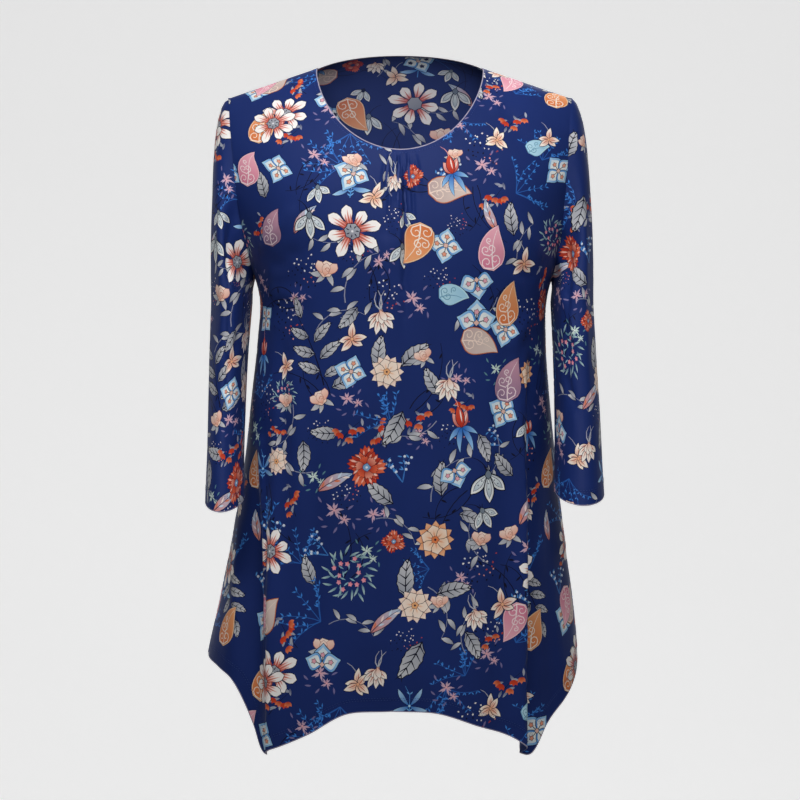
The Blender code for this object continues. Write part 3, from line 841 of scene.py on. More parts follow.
def bell():
    made = Motif()
    for turn, bend in ((-30, 50), (25, -60), (70, -90)):
        made.lay(stroke(arc((0, 2), 90 + turn, 20, bend, 4), 1.5, 0.3), "#B9BBC2")
    for turn, reach in ((-66, 15), (-42, 19), (-18, 22), (8, 21), (32, 20), (58, 15)):
        leaf = Motif()
        petal = blade(reach, 6.4, 0.60, 0.9, 0.02 * turn / 20, 5)
        leaf.lay(petal, "#EFB195", "#FEF5EC", (0, 1), (0, reach * 0.7), "#1E1A38", 0.7)
        leaf.lay(blade(reach * 0.8, 1.1, 0.4, 1, 0, 2) + (0.5, 1), "#C4705C")
        made.add(leaf, 180 + turn)
    for turn, reach in ((-28, 13), (0, 15), (28, 13)):
        leaf = Motif()
        petal = blade(reach, 6.0, 0.60, 0.9, 0, 5) + (0, -3)
        leaf.lay(petal, "#F5C6AE", "#FFF8F0", (0, -1), (0, reach * 0.6), "#8A5048", 0.5)
        made.add(leaf, 180 + turn)
    return made


# %% [markdown]
# ## Leaves, buds and sprays
#
# Scrolled leaves fall in a cascade down one side of the print. Grey leaves with dark veins,
# white snowdrops, feathers and small sprays fill in between, dark stems link the flowers, and
# clouds of pale and dark dots lie among them.


# %% Leaves and buds, in millimetres
def drop_shape(length, width, bend, steps=11):
    """A rounded leaf that draws out to a curved tip."""
    share = np.linspace(0, 1, steps + 1)
    half = share**0.5 * (1 - share) ** 1.05
    half = width / 2 * half / half.max()
    line = arc((0, 0), 90, length, -math.degrees(bend), steps + 1)
    lean = bend * share
    aside = np.stack((np.cos(lean), -np.sin(lean)), 1) * half[:, None]
    return np.concatenate((line + aside, (line - aside)[-2:0:-1]))


def scrolled(body="#E27A42", blush="#F2A671", scroll="#FDF1E2", edge="#F6CFA9"):
    made = Motif()
    shape = drop_shape(60, 37, 0.85)
    made.lay(shape, edge, outline="#1A1B42", by=0.7)
    made.lay(inset(shape, 1.2), body, blush, (-6, 4), (16, 44))
    made.lay(stroke(arc((0, 2), 90, 52, -46, 8), 1.7, 0.3), scroll)
    for x, y, heading, lead, radius, hand in (
        (-0.3, 3, 160, 11, 6.0, -1), (0.3, 3, 20, 11, 6.0, 1), (1.0, 19, 152, 9, 4.8, -1),
        (1.4, 20, 24, 8, 4.4, 1), (5.0, 33, 130, 4, 3.0, -1),
    ):
        made.lay(stroke(curl((x, y), heading, lead, radius, hand), 1.4, 0.7), scroll)
    return made


def veined(length=44, width=19, veins=5, bend=0.35, tint="#CBCCD0", shade="#8B8F9C"):
    made = Motif()
    steps = 2 * veins + 1
    leaf = blade(length, width, 0.42, 0.85, bend, steps)
    toothed = leaf.copy()
    middle = leaf.mean(0)
    toothed[1::2] += (middle - toothed[1::2]) * 0.10
    made.lay(toothed, shade, tint, (-width / 3, 0), (width / 2, length * 0.7), "#0B0D24", 1.0)
    rib = arc((0, 0), 90, length * 0.96, -math.degrees(bend), steps)
    for k in range(veins):
        x, y = rib[1 + 2 * k]
        for side in (-1, 1):
            far = width * (0.40, 0.42, 0.36, 0.28, 0.2)[min(k, 4)]
            tip = (x + side * far, y + length * 0.15)
            made.lay(stroke(((x, y), tip), 1.5, 0.3), "#14172C")
    made.lay(stroke(rib, 1.5), "#0C0F24")
    return made


def leaf_spray():
    made = Motif()
    made.lay(stroke(arc((0, -46), 84, 96, 22, 9), 1.8), "#0B0D24")
    for x, y, turn, size in (
        (4, -36, -72, 0.72), (1, -28, 64, 0.80), (5, -14, -60, 0.86), (1, -6, 68, 0.84),
        (4, 8, -50, 0.80), (-1, 16, 60, 0.76), (-5, 42, 10, 0.70),
    ):
        made.add(veined(42, 16, 4), turn, (x, y), size)
    return made


def feather():
    made = Motif()
    leaf = blade(46, 13.5, 0.46, 1.0, 0.4, 8)
    made.lay(leaf, "#D98E88", "#B9CBE2", (0, 4), (6, 40), "#15163A", 0.9)
    middle = arc((0, 0), 90, 44, -22, 9)
    for k in range(1, 7):
        tint = ("#F7E3DC", "#E27F5C", "#CFE2F1")[k % 3]
        side = -1 if k % 2 else 1
        made.lay(moved(blade(9, 2.6, 0.5, 1, 0, 4), -28 * side - 2 * k, middle[k]), tint)
    made.lay(stroke(middle, 1.1), "#2A2A4C")
    return made


def snowdrop():
    made = Motif()
    made.lay(stroke(arc((0, 0), 95, 22, 60, 5), 1.2), "#0B0E24")
    for turn, reach in ((-46, 24), (44, 23), (0, 26)):
        leaf = Motif()
        petal = blade(reach, 9.4, 0.58, 0.9, 0, 7)
        leaf.lay(petal, "#C3CDD4", "#F6F6F2", (0, 2), (0, reach), "#080A1E", 1.1)
        heart = blade(reach * 0.72, 4.6, 0.58, 1, 0, 5) + (0, 3.4)
        leaf.lay(heart, "#EEF3F3", "#A9BAC6", (0, 5), (0, 22), "#2C3350", 0.45)
        for k in range(2):
            leaf.lay(moved(ring(0.8, 4), at=(0.3, 9 + 5 * k)), "#33405F")
        made.add(leaf, 180 + turn)
    for turn in (-30, 0, 30):
        made.add(Motif([(blade(9, 1.3, 0.4, 1, 0, 3), INK, INK, np.zeros(2), np.zeros(2))]), turn)
    made.lay(moved(blade(8, 6, 0.5, 0.8, 0, 4), 180, (0, 3)), "#76838F", outline="#080A1E", by=0.7)
    return made


def rosebud():
    made = Motif()
    for turn, size in ((-118, 0.56), (122, 0.60), (164, 0.50)):
        leaf = Motif()
        leaf.lay(blade(34, 12, 0.45, 0.9, 0.6, 5), "#8F93A0", "#CDCED2", (0, 0), (0, 30), "#0B0D24", 0.9)
        made.add(leaf, turn, (0, -4), size)
    made.lay(ring(9.4, 14, 7, 0.06), "#F3C3AC", "#FDEBDF", (-6, -8), (6, 8), "#1E1A38", 0.8)
    for x, y, turn, tint in ((-4.5, -5, 30, "#FBE3D4"), (4.5, -5, -30, "#F9D5C4"), (0, -8, 0, "#FCEADD")):
        petal = moved(blade(15, 10, 0.58, 0.6, 0, 5), turn, (x, y))
        made.lay(petal, "#EBA68C", tint, (0, -7), (0, 7), "#B3695A", 0.5)
    made.lay(stroke(curl((-1, -1), 90, 1.0, 2.6, -1), 0.9), "#C4705C")
    return made


def red_bud():
    made = Motif()
    for turn, reach in ((-74, 20), (-34, 27), (36, 28), (78, 19)):
        leaf = Motif()
        lean = 0.6 * (1 if turn > 0 else -1)
        sepal = blade(reach, 5.6, 0.4, 1, lean, 6)
        leaf.lay(sepal, "#2C6FC4", "#A3D2F2", (0, 3), (0, reach), "#10204E", 0.5)
        made.add(leaf, 180 + turn, (0, -2))
    for turn, tint, reach in ((-26, "#F3A79E", 19), (24, "#F6B9AE", 18), (0, "#DE5138", 24)):
        leaf = Motif()
        leaf.lay(blade(reach, 9.2, 0.42, 0.9, 0, 5), "#B92E1F", tint, (0, 0), (0, reach), "#3A1730", 0.7)
        leaf.lay(blade(reach * 0.6, 1.7, 0.5, 1, 0, 4) + (1.2, 5), "#FBE3DA")
        made.add(leaf, turn, (0, -2))
    made.lay(stroke(arc((0, 20), 80, 16, 50, 4), 1.0), "#F2A69A")
    return made


def crossed():
    made = Motif()
    for turn, reach in ((52, 25), (-52, 26), (124, 22), (-122, 23)):
        leaf = Motif()
        lean = 0.5 * (1 if turn > 0 else -1)
        petal = blade(reach, 5.6, 0.55, 0.9, lean, 6)
        leaf.lay(petal, "#2E74C4", "#B4DCF5", (0, 2), (0, reach), "#10204E", 0.6)
        made.add(leaf, turn)
    made.lay(stroke(((0, -12), (0, 14), (-6, 24)), 1.1), "#4D92DA")
    for y in (-10, -6, 14):
        for turn in (50, -50):
            made.lay(moved(blade(5, 1.6, 0.5, 1, 0, 3), turn, (0, y)), "#6FB0EA")
    made.lay(ring(1.7, 5), "#B4DCF5")
    return made


def round_leaf():
    made = Motif()
    shape = drop_shape(36, 24, 0.95, 9)
    made.lay(shape, "#8CC3E4", "#BFE4EE", (0, 2), (12, 26), "#1A2C5C", 0.7)
    made.lay(inset(shape, 1.4), "#BDE0EC", "#A3D0E6", (0, 2), (10, 22))
    made.lay(stroke(arc((0, 1), 90, 26, -50, 5), 1.1, 0.4), "#5F95B5")
    for x, y, heading, lead, radius, hand in (
        (0, 4, 20, 6, 3.4, 1), (0, 4, 160, 6, 3.4, -1), (2, 15, 150, 4, 2.4, -1),
    ):
        made.lay(stroke(curl((x, y), heading, lead, radius, hand), 1.1, 0.7), "#6E9FB8")
    return made


# %% Small sprays, in millimetres
def scatter_places(count, reach, flat, seed):
    """Places that fill an oval evenly, shaken a little."""
    rng = np.random.default_rng(seed)
    k = np.arange(count) + 0.5
    turn = k * 2.39996 + rng.normal(0, 0.25, count)
    out = reach * np.sqrt(k / count) * rng.uniform(0.85, 1.12, count)
    return np.stack((out * np.cos(turn), flat * out * np.sin(turn)), 1), rng


DOT_TINTS = ("#F7F3EE", "#070A20", "#F1E9E6", "#0A0D28", "#EFA598", "#F7F3EE", "#0A0D28", "#C4472F")


def dots(count=36, reach=25, flat=0.75, seed=3):
    made = Motif()
    places, rng = scatter_places(count, reach, flat, seed)
    for k, place in enumerate(places):
        size = rng.uniform(0.7, 1.35)
        dot = moved(ring(size, 4) * (1, 1.3), rng.uniform(0, 360), place)
        made.lay(dot, DOT_TINTS[k % len(DOT_TINTS)])
    return made


def coral(seed=5, tint="#3E86DC", deep="#2A62B4"):
    made = Motif()
    rng = np.random.default_rng(seed)
    for k in range(6):
        heading = 35 + 24 * k + rng.uniform(-8, 8)
        line = arc((0, -24), heading, rng.uniform(30, 52), rng.uniform(-60, 60), 6)
        made.lay(stroke(line, 1.1), deep)
        for x, y in line[2:]:
            for turn in (45, -45):
                twig = blade(rng.uniform(4.5, 7), 2.1, 0.6, 1, 0, 2)
                made.lay(moved(twig, turn + rng.uniform(-40, 40), (x, y)), tint)
    return made


def sprig(tint="#B3A7C6", deep="#7B73A0", heart="#E9B1B5", count=9):
    made = Motif()
    for x, y, size in ((0, 0, 1.0), (9, -11, 0.7)):
        for k in range(count):
            turn = k * 360 / count + (0, 12, -9, 6, -14, 10, 3, -6, 8)[k % 9]
            petal = moved(blade(8 + 3 * (k % 2), 2.7, 0.45, 1, 0.2, 2), turn, (x, y), size)
            made.lay(petal, heart, tint, (x, y), tuple(petal[2]))
        made.lay(moved(ring(1.3, 5), at=(x, y)), heart)
    for x, y, turn in (
        (-13, -9, 60), (-9, -15, 100), (1, -17, 150), (14, -2, -50),
        (-12, 9, 40), (12, 8, -30), (17, -15, 200),
    ):
        made.lay(moved(blade(8, 2.4, 0.5, 1, 0.3, 3), turn, (x, y)), deep)
    return made


def cluster(tint="#DD4F2B", seed=7):
    made = Motif()
    rng = np.random.default_rng(seed)
    made.lay(stroke(arc((-12, -16), 60, 40, -20, 5), 0.9), "#0B0E28")
    for k in range(8):
        at = (-15 + 4.4 * k + rng.uniform(-1, 1), -8 + 2 * k + rng.uniform(-11, 11))
        leaf = moved(blade(9, 3.2, 0.5, 0.9, 0.2, 4), rng.uniform(0, 360), at)
        made.lay(leaf, "#A7ABB8", "#6A7089", at, (at[0], at[1] + 6))
    for k in range(5):
        at = np.array((-12 + 6.5 * k + rng.uniform(-2, 2), -4 + 2.5 * k + rng.uniform(-8, 8)))
        for turn in (-38, 38, 0):
            petal = moved(blade(7.5, 4.2, 0.5, 0.8, 0, 3), 150 + turn + 8 * k, at)
            made.lay(petal, "#B8361E", ("#F08A5C", tint)[k % 2], tuple(at), tuple(petal[3]))
    return made


def wreath():
    made = Motif()
    for k in range(26):
        turn = k * 13.85
        at = moved((0, 22 + 4 * math.sin(2.2 * k)), turn)
        petal = moved(blade(15, 3.0, 0.45, 0.9, 0.3, 3), turn - 52 + 24 * (k % 4), at)
        made.lay(petal, "#4F7C94", "#C4E0DA", tuple(petal[0]), tuple(petal[3]))
    for k in range(12):
        at = moved((0, 13 + 4 * (k % 3)), k * 30 + 10)
        bloom = moved(ring(2.9, 10, 5, 0.22), k * 13, at)
        made.lay(bloom, "#F0A3AE", "#D9627A", tuple(at), tuple(at + (3, 3)))
    for k in range(12):
        at = moved((0, 5 + 4 * (k % 4)), k * 47)
        made.lay(moved(blade(9, 2.2, 0.5, 1, 0, 2), k * 61, at), "#93BECB")
    return made


def berries():
    made = Motif()
    for k, (heading, turn) in enumerate(((60, 30), (82, -30), (104, 34), (126, -20))):
        line = arc((0, -14), heading, 32, turn, 5)
        made.lay(stroke(line, 0.9), "#3C7CC8")
        for x, y in line[2:]:
            at = (x + 1.6, y)
            made.lay(moved(ring(1.8, 6), 0, at), "#F4F3F0", "#A9C4E4", (x, y + 2), (x, y - 2))
            made.lay(moved(blade(6, 2.0, 0.5, 1, 0, 3), 70 - 40 * k, (x - 1.5, y)), "#4D92DA")
    return made


def tendril(tint="#8D92A6"):
    made = Motif()
    line = arc((0, -34), 100, 74, -95, 10)
    made.lay(stroke(line, 1.3), tint)
    for k, side in ((2, -1), (3, 1), (5, -1), (6, 1), (8, -1), (9, 1)):
        lean = 0.5 * side
        leaf = moved(blade(18, 6.0, 0.45, 0.9, lean, 4), -58 * side + 9 * k, line[k])
        made.lay(leaf, "#DADADC", "#858A9A", tuple(line[k]), tuple(leaf[4]), "#0B0D24", 0.7)
    return made


def stems():
    made = Motif()
    for x, heading, length, turn in ((0, 60, 86, 70), (-6, 100, 66, -80), (8, 30, 56, 100)):
        line = arc((x, -30), heading, length, turn, 9)
        made.lay(stroke(line, 1.2, 0.5), "#080B22")
        for k in (4, 7):
            made.lay(moved(blade(8, 2.4, 0.5, 1, 0.4, 3), heading + 20 * k, line[k]), "#080B22")
    return made


# %% [markdown]
# ## The repeat
#
# A printed cloth is one drawing that repeats. The motifs are laid one by one over one repeat, then
# every piece is cut out of the same endless cloth. Rows give the motif, where it lies across
# and down the cloth in millimetres, its turn and its size. Small and dark things come first,
# because what comes later is printed over them.

# %% Lay out one repeat
REPEAT = (420.0, 640.0)
MOTIF_REACH = 60
MOTIFS = {
    "daisy": daisy(),
    "winged": winged(),
    "trefoil": winged((0, 74, -74), "#E9A9B4", 0.96),
    "rose": carnation(),
    "rosette": rosette(),
    "cream": rosette("#F3C9AE", "#FBE4D2", "#F0B27C", "#FDEFE4"),
    "lily": lily(),
    "star": lily(6, "#FFF3E4", "#F0B08C"),
    "bell": bell(),
    "orange": scrolled(),
    "pink": scrolled("#DF7F9B", "#F2AEBD", "#FDECEC", "#F8CBD3"),
    "beige": scrolled("#BFA7A3", "#DCC9BE", "#F0DACB", "#C4704E"),
    "mauve": scrolled("#8C6F8E", "#C795A8", "#F0DDE0", "#B98FA5"),
    "round_leaf": round_leaf(),
    "grey": veined(),
    "leaf_spray": leaf_spray(),
    "feather": feather(),
    "snowdrop": snowdrop(),
    "rosebud": rosebud(),
    "red_bud": red_bud(),
    "crossed": crossed(),
    "dots": dots(),
    "more_dots": dots(40, 24, 1.1, 11),
    "coral": coral(),
    "coral_low": coral(9),
    "sprig": sprig(),
    "mint": sprig("#A9CFC6", "#5E8C96", "#E4EFE6", 8),
    "cluster": cluster(),
    "embers": cluster("#D9482B", 13),
    "wreath": wreath(),
    "berries": berries(),
    "tendril": tendril(),
    "stems": stems(),
}
LAYOUT = (
    ("stems", -40, 300, 20, 1.0), ("stems", 30, 420, -30, 1.0), ("stems", 100, 330, 10, 1.0),
    ("stems", -110, 420, 60, 1.0), ("stems", 60, 560, 150, 1.0), ("stems", -60, 600, 0, 1.0),
    ("stems", 150, 480, 190, 0.9), ("stems", -160, 330, 100, 1.0), ("stems", 10, 200, 100, 0.9),
    ("stems", 120, 640, 40, 1.0), ("stems", -150, 560, 210, 1.0), ("stems", 190, 400, 0, 0.9),
    ("stems", -110, 190, 160, 0.9), ("stems", 96, 220, 200, 0.9),
    ("coral", -120, 600, 30, 0.8), ("coral_low", 60, 130, 180, 0.8), ("coral", 20, 620, 90, 0.6),
    ("coral", 176, 140, -20, 0.8), ("coral_low", 74, 720, 20, 0.8), ("coral", -60, 150, 170, 0.8),
    ("dots", 60, 470, 30, 0.8), ("dots", -60, 540, 60, 0.8), ("dots", -90, 470, 0, 0.7),
    ("dots", 40, 300, 0, 0.7), ("more_dots", -170, 440, 0, 0.9), ("dots", 90, 620, 30, 1.0),
    ("dots", -60, 270, 0, 0.7), ("dots", 66, 240, 60, 0.6),
    ("sprig", 20, 470, 0, 0.8), ("sprig", -30, 560, 60, 0.9), ("sprig", 70, 630, 0, 0.8),
    ("mint", 110, 400, 0, 0.8), ("sprig", -130, 320, 50, 0.8), ("sprig", 60, 110, 0, 0.9),
    ("sprig", -30, 280, 90, 0.8), ("mint", -100, 520, 20, 0.8),
    ("berries", -90, 600, 60, 0.9), ("berries", 110, 480, 60, 0.8), ("crossed", 170, 660, 0, 0.9),
    ("tendril", 20, 480, 140, 0.9), ("tendril", -84, 330, -30, 0.9), ("tendril", 74, 600, 60, 0.9),
    ("tendril", -130, 520, 100, 0.9), ("tendril", 0, 560, -80, 0.8), ("tendril", 120, 500, 200, 0.8),
    ("tendril", -64, 262, 150, 0.9), ("tendril", 66, 690, 30, 0.8),
    ("grey", -78, 420, -60, 0.8), ("grey", 88, 472, -150, 0.8), ("grey", 130, 520, 50, 0.8),
    ("grey", -70, 470, 100, 0.8), ("grey", -96, 640, 30, 0.8), ("grey", 66, 560, -100, 0.7),
    ("cluster", 70, 440, 0, 0.8), ("embers", -24, 470, 60, 0.9), ("cluster", -150, 470, 0, 0.8),
    ("dots", -116, 292, 10, 1.0), ("more_dots", -140, 345, 0, 1.0), ("dots", -22, 318, -20, 0.9),
    ("more_dots", 96, 150, 20, 0.95), ("dots", 104, 690, 0, 1.0), ("dots", 172, 505, 80, 1.0),
    ("more_dots", 158, 345, 0, 1.05), ("dots", -8, 232, 60, 0.7), ("dots", 12, 700, 10, 0.7),
    ("coral", -92, 160, 60, 0.9), ("coral", 158, 190, -60, 0.9), ("coral_low", -22, 440, 30, 0.9),
    ("coral", -105, 668, 60, 0.95), ("coral_low", -166, 560, 10, 0.9), ("coral", 182, 610, 20, 0.8),
    ("coral_low", 150, 690, -40, 0.8), ("coral", -188, 420, 10, 0.7),
    ("tendril", -72, 292, 10, 1.0), ("tendril", 34, 512, 0, 1.0), ("tendril", -52, 668, -60, 0.8),
    ("tendril", 60, 655, -120, 0.9), ("tendril", 128, 262, 20, 0.9), ("tendril", -30, 186, 40, 0.8),
    ("tendril", -120, 470, 190, 0.9), ("tendril", 100, 345, 160, 0.8),
    ("sprig", 10, 320, 0, 1.0), ("sprig", -60, 432, 30, 0.9), ("sprig", -74, 556, 10, 1.1),
    ("sprig", -100, 155, 0, 0.9), ("sprig", 95, 168, 20, 1.0), ("sprig", 62, 410, 40, 0.8),
    ("sprig", 148, 600, 0, 1.0), ("sprig", 104, 715, 10, 0.9), ("sprig", -82, 735, 0, 1.0),
    ("sprig", 198, 440, 0, 0.9), ("sprig", -196, 300, 0, 0.9), ("mint", -198, 470, 0, 0.9),
    ("mint", -36, 600, 0, 0.8), ("mint", 180, 380, 30, 0.8),
    ("cluster", 112, 208, 10, 1.0), ("embers", -60, 470, 0, 1.0), ("embers", 16, 455, 10, 1.0),
    ("cluster", -126, 548, 60, 0.9), ("cluster", -124, 695, 80, 1.0), ("embers", 100, 700, 0, 0.9),
    ("cluster", -128, 130, 0, 0.9), ("embers", -180, 240, 40, 0.8), ("cluster", 184, 300, 80, 0.9),
    ("embers", 190, 545, 30, 0.9), ("cluster", -162, 620, 20, 0.8), ("embers", 132, 110, 0, 1.0),
    ("berries", -150, 590, 0, 1.0), ("berries", 0, 512, 10, 0.9), ("berries", 62, 184, 20, 0.8),
    ("berries", 150, 655, 30, 0.8), ("berries", -180, 650, 0, 0.9),
    ("crossed", -62, 196, 5, 1.0), ("crossed", 20, 130, 0, 0.9), ("crossed", -172, 515, 0, 0.9),
    ("wreath", -55, 626, 0, 0.86), ("wreath", 196, 250, 0, 0.70), ("wreath", -140, 430, 0, 0.55),
    ("leaf_spray", -102, 378, 20, 0.92), ("leaf_spray", 190, 660, 200, 0.74),
    ("grey", -26, 398, 5, 0.87), ("grey", 0, 396, -40, 0.92), ("grey", 2, 446, 160, 1.01),
    ("grey", 44, 428, 40, 0.83), ("grey", -8, 548, 60, 0.92), ("grey", 46, 540, 10, 0.92),
    ("grey", 10, 652, 10, 1.01), ("grey", 44, 648, -70, 0.92), ("grey", 30, 700, 160, 1.10),
    ("grey", 78, 690, -140, 0.83), ("grey", 132, 250, 10, 0.92), ("grey", -166, 205, 30, 0.83),
    ("grey", -52, 330, 150, 0.74), ("grey", -112, 480, 190, 0.83), ("grey", 165, 425, 20, 0.83),
    ("feather", -128, 248, -30, 0.95), ("feather", 112, 246, 30, 0.85), ("feather", -94, 536, -50, 1.0),
    ("feather", -28, 690, -40, 0.95), ("feather", 138, 575, -20, 0.95), ("feather", -196, 600, 20, 0.8),
    ("snowdrop", -107, 226, 0, 1.1), ("snowdrop", -102, 194, 20, 0.8), ("snowdrop", -2, 262, 5, 1.0),
    ("snowdrop", 4, 226, 25, 0.75), ("snowdrop", 99, 516, 4, 1.25), ("snowdrop", 92, 556, 30, 0.9),
    ("snowdrop", 150, 462, 0, 0.9),
    ("rosebud", -90, 288, -10, 0.95), ("rosebud", 24, 384, 20, 0.7), ("rosebud", -92, 432, 30, 0.85),
    ("rosebud", 92, 588, -10, 0.8), ("rosebud", 126, 584, 20, 0.8), ("rosebud", 47, 656, 0, 0.7),
    ("rosebud", -80, 706, 0, 0.9), ("rosebud", -138, 436, 0, 0.8), ("rosebud", 62, 156, 0, 0.6),
    ("winged", -62, 180, 20, 1.0), ("rosebud", -58, 164, 10, 0.8),
    ("winged", 49, 262, 30, 0.95), ("trefoil", 83, 300, 190, 1.0), ("trefoil", 84, 348, 0, 1.15),
    ("winged", 122, 356, 30, 0.95), ("winged", 120, 448, 15, 0.95), ("winged", -56, 402, 30, 0.9),
    ("trefoil", 60, 512, 200, 0.9), ("trefoil", -80, 726, 0, 1.0), ("winged", -170, 690, 20, 1.0),
    ("winged", -186, 345, 0, 0.9), ("winged", -150, 170, 20, 0.9), ("winged", 196, 170, 0, 1.0),
    ("round_leaf", 40, 320, -60, 1.0), ("round_leaf", 150, 150, -40, 0.9),
    ("beige", 36, 204, -62, 0.85), ("orange", 24, 236, 178, 0.90), ("pink", 104, 290, 16, 0.90),
    ("orange", 128, 352, 22, 0.88), ("beige", 66, 368, -80, 0.83), ("mauve", 126, 438, 10, 0.90),
    ("mauve", -160, 262, 10, 0.78), ("orange", -168, 136, 4, 0.87), ("beige", -158, 700, 0, 0.85),
    ("pink", -168, 655, 200, 0.78), ("pink", -196, 190, 0, 0.83), ("orange", 190, 720, 10, 0.83),
    ("pink", 136, 660, 190, 0.78), ("orange", -196, 540, 20, 0.78),
    ("lily", -56, 366, 10, 1.0), ("star", -34, 208, 0, 0.95), ("lily", 120, 662, 20, 1.0),
    ("star", -38, 746, 10, 0.95), ("lily", 146, 282, 0, 1.05), ("lily", -140, 398, 30, 0.9),
    ("star", 112, 136, 10, 0.9), ("lily", 178, 130, 0, 0.9),
    ("bell", -25, 336, 8, 1.15), ("bell", -10, 184, 0, 0.85), ("bell", 54, 412, -10, 1.1),
    ("bell", 88, 668, 15, 1.0), ("bell", -17, 730, -10, 1.0), ("bell", 184, 560, 0, 0.8),
    ("red_bud", 62, 178, 20, 1.0), ("red_bud", 68, 462, 10, 1.05), ("red_bud", -186, 385, 0, 0.9),
    ("red_bud", 176, 474, 20, 0.8),
    ("cream", -16, 402, 0, 0.86), ("cream", 20, 660, 10, 0.88), ("rosette", 40, 588, 0, 0.96),
    ("rosette", 158, 408, 0, 0.78), ("cream", -148, 505, 0, 0.7),
    ("rose", 17, 184, 10, 0.62), ("rose", -38, 508, 0, 1.02), ("rose", -6, 590, 90, 0.6),
    ("rose", 198, 330, 0, 0.85),
    ("daisy", -58, 246, 12, 1.05), ("daisy", 166, 630, 30, 0.95), ("daisy", -150, 605, -20, 0.9),
    ("daisy", -136, 98, 30, 0.95), ("daisy", -150, 750, 20, 0.9),
)
corners = sum(len(shape[0]) for row in LAYOUT for shape in MOTIFS[row[0]])
print(len(LAYOUT), "motifs in a repeat,", corners, "points")


def printed(low, high, to_flat, origin):
    """Shapes of the print over a stretch of a piece.

    low and high bound the stretch in cloth millimetres, to_flat gives the flat place and the
    2 x 2 stretch there of a cloth place, and origin is the cloth place of the piece's zero.
    """
    shapes = []
    for name, x, y, turn, size in LAYOUT:
        first_x = x + REPEAT[0] * math.floor((low[0] - x) / REPEAT[0] - 0.2)
        first_y = y + REPEAT[1] * math.floor((low[1] - y) / REPEAT[1] - 0.2)
        for at_x in np.arange(first_x, high[0] + MOTIF_REACH, REPEAT[0]):
            for at_y in np.arange(first_y, high[1] + MOTIF_REACH, REPEAT[1]):
                if at_x < low[0] - MOTIF_REACH or at_y < low[1] - MOTIF_REACH:
                    continue
                centre, stretch = to_flat(at_x - origin[0], at_y - origin[1])
                spin = moved(np.eye(2), turn, size=size) @ stretch
                back = np.linalg.inv(spin)
                for points, first, last, start, slope in MOTIFS[name]:
                    polygon = points @ spin + centre
                    shapes.append((polygon, (first, last, start @ spin + centre, back @ slope)))
    return shapes

# %% [markdown]
# ## Printed cloth as a mesh
#
# The print is part of the mesh. Each motif is a stack of flat shapes, painted from the ground
# up. A first triangulation splits the flat piece along every edge of every shape, and each
# triangle takes the topmost shape that winds around its middle. Edges with the same shape on
# both sides are hidden, so a second triangulation leaves them out and adds even rows of points,
# which let the cloth bend. A colour attribute on the corners keeps edges crisp and lets a petal
# fade from tip to base.
#
# Jersey printed from one side shows its print on the wrong side too, a little paler and hazy.

# %% Triangulate a printed piece
GRID_ACROSS = 0.0060
GRID_DOWN = 0.0115
GATHER_GRID = 0.0017
GATHER_ZONE = ((-0.034, 0.153), (0.034, 0.235))
EDGE_ROWS = (0.0024, 0.0056)
GRID_MARGIN = 0.9 * EDGE_ROWS[-1] + 0.003
BOLD = 260e-6
FINE = 18e-6
PRINT_MARGIN = 0.0012
CELL = 0.008
EXACT = 1e-6
SEAM_DIP = 0.0011
SEAM_HALF = 0.0026
NORMAL_STEP = 0.0006
HAZE = linear("#7C8CD0")
HAZE_SHARE = 0.11
# Painted highlight: the pale line along the turned edges of neck, cuffs and hem, on the face and on the cut
# edge; EDGE_BAND is its width on the face
EDGE_HIGHLIGHT = linear("#A9A3B8")
SEWN = 0.0012
EDGE_BAND = 0.0011


def wound(places, loop):
    """Whether a closed loop, which may cross itself, winds around each place."""
    x, y = places[:, 0], places[:, 1]
    ax, ay = loop[:, :1], loop[:, 1:]
    bx, by = np.roll(ax, -1, 0), np.roll(ay, -1, 0)
    rise = np.where(by == ay, 1.0, by - ay)
    beyond = ax + (y - ay) * (bx - ax) / rise > x
    up = (ay <= y) & (by > y) & beyond
    down = (ay > y) & (by <= y) & beyond
    return up.sum(0) != down.sum(0)


def inside_cut(places, loop):
    """Whether each place lies inside a simple loop of many edges."""
    order = np.argsort(places[:, 1], kind="stable")
    x, y = places[order].T
    crossed = np.zeros(len(places), bool)
    for (ax, ay), (bx, by) in zip(loop, np.roll(loop, -1, 0)):
        low, high = np.searchsorted(y, sorted((ay, by)))
        if low < high:
            crossed[low:high] ^= x[low:high] < ax + (y[low:high] - ay) * (bx - ax) / (by - ay)
    found = np.empty_like(crossed)
    found[order] = crossed
    return found


def topmost(places, shapes):
    """The number of the topmost shape at each place, from 1, or 0 on the bare ground."""
    low = places.min(0)
    cells = ((places - low) / CELL).astype(int)
    count = cells.max(0) + 1
    keys = cells[:, 0] * count[1] + cells[:, 1]
    order = np.argsort(keys, kind="stable")
    keys = keys[order]
    top = np.zeros(len(places), int)
    for k, (polygon, _) in enumerate(shapes, 1):
        first = np.maximum(np.floor((polygon.min(0) - low) / CELL).astype(int), 0)
        last = np.minimum(np.floor((polygon.max(0) - low) / CELL).astype(int), count - 1)
        if (last < first).any():
            continue
        columns = np.arange(first[0], last[0] + 1) * count[1]
        starts = np.searchsorted(keys, columns + first[1], "left")
        ends = np.searchsorted(keys, columns + last[1], "right")
        near = np.concatenate([order[a:b] for a, b in zip(starts, ends)])
        top[near[wound(places[near], polygon)]] = k
    return top


def staggered(low, high, across, down):
    """A grid of points between two corners, with every other row shifted by half a step."""
    u, v = np.meshgrid(np.arange(low[0], high[0], across), np.arange(low[1], high[1], down))
    u = u + (np.arange(len(v)) % 2)[:, None] * across / 2
    return np.stack((u.ravel(), v.ravel()), 1)


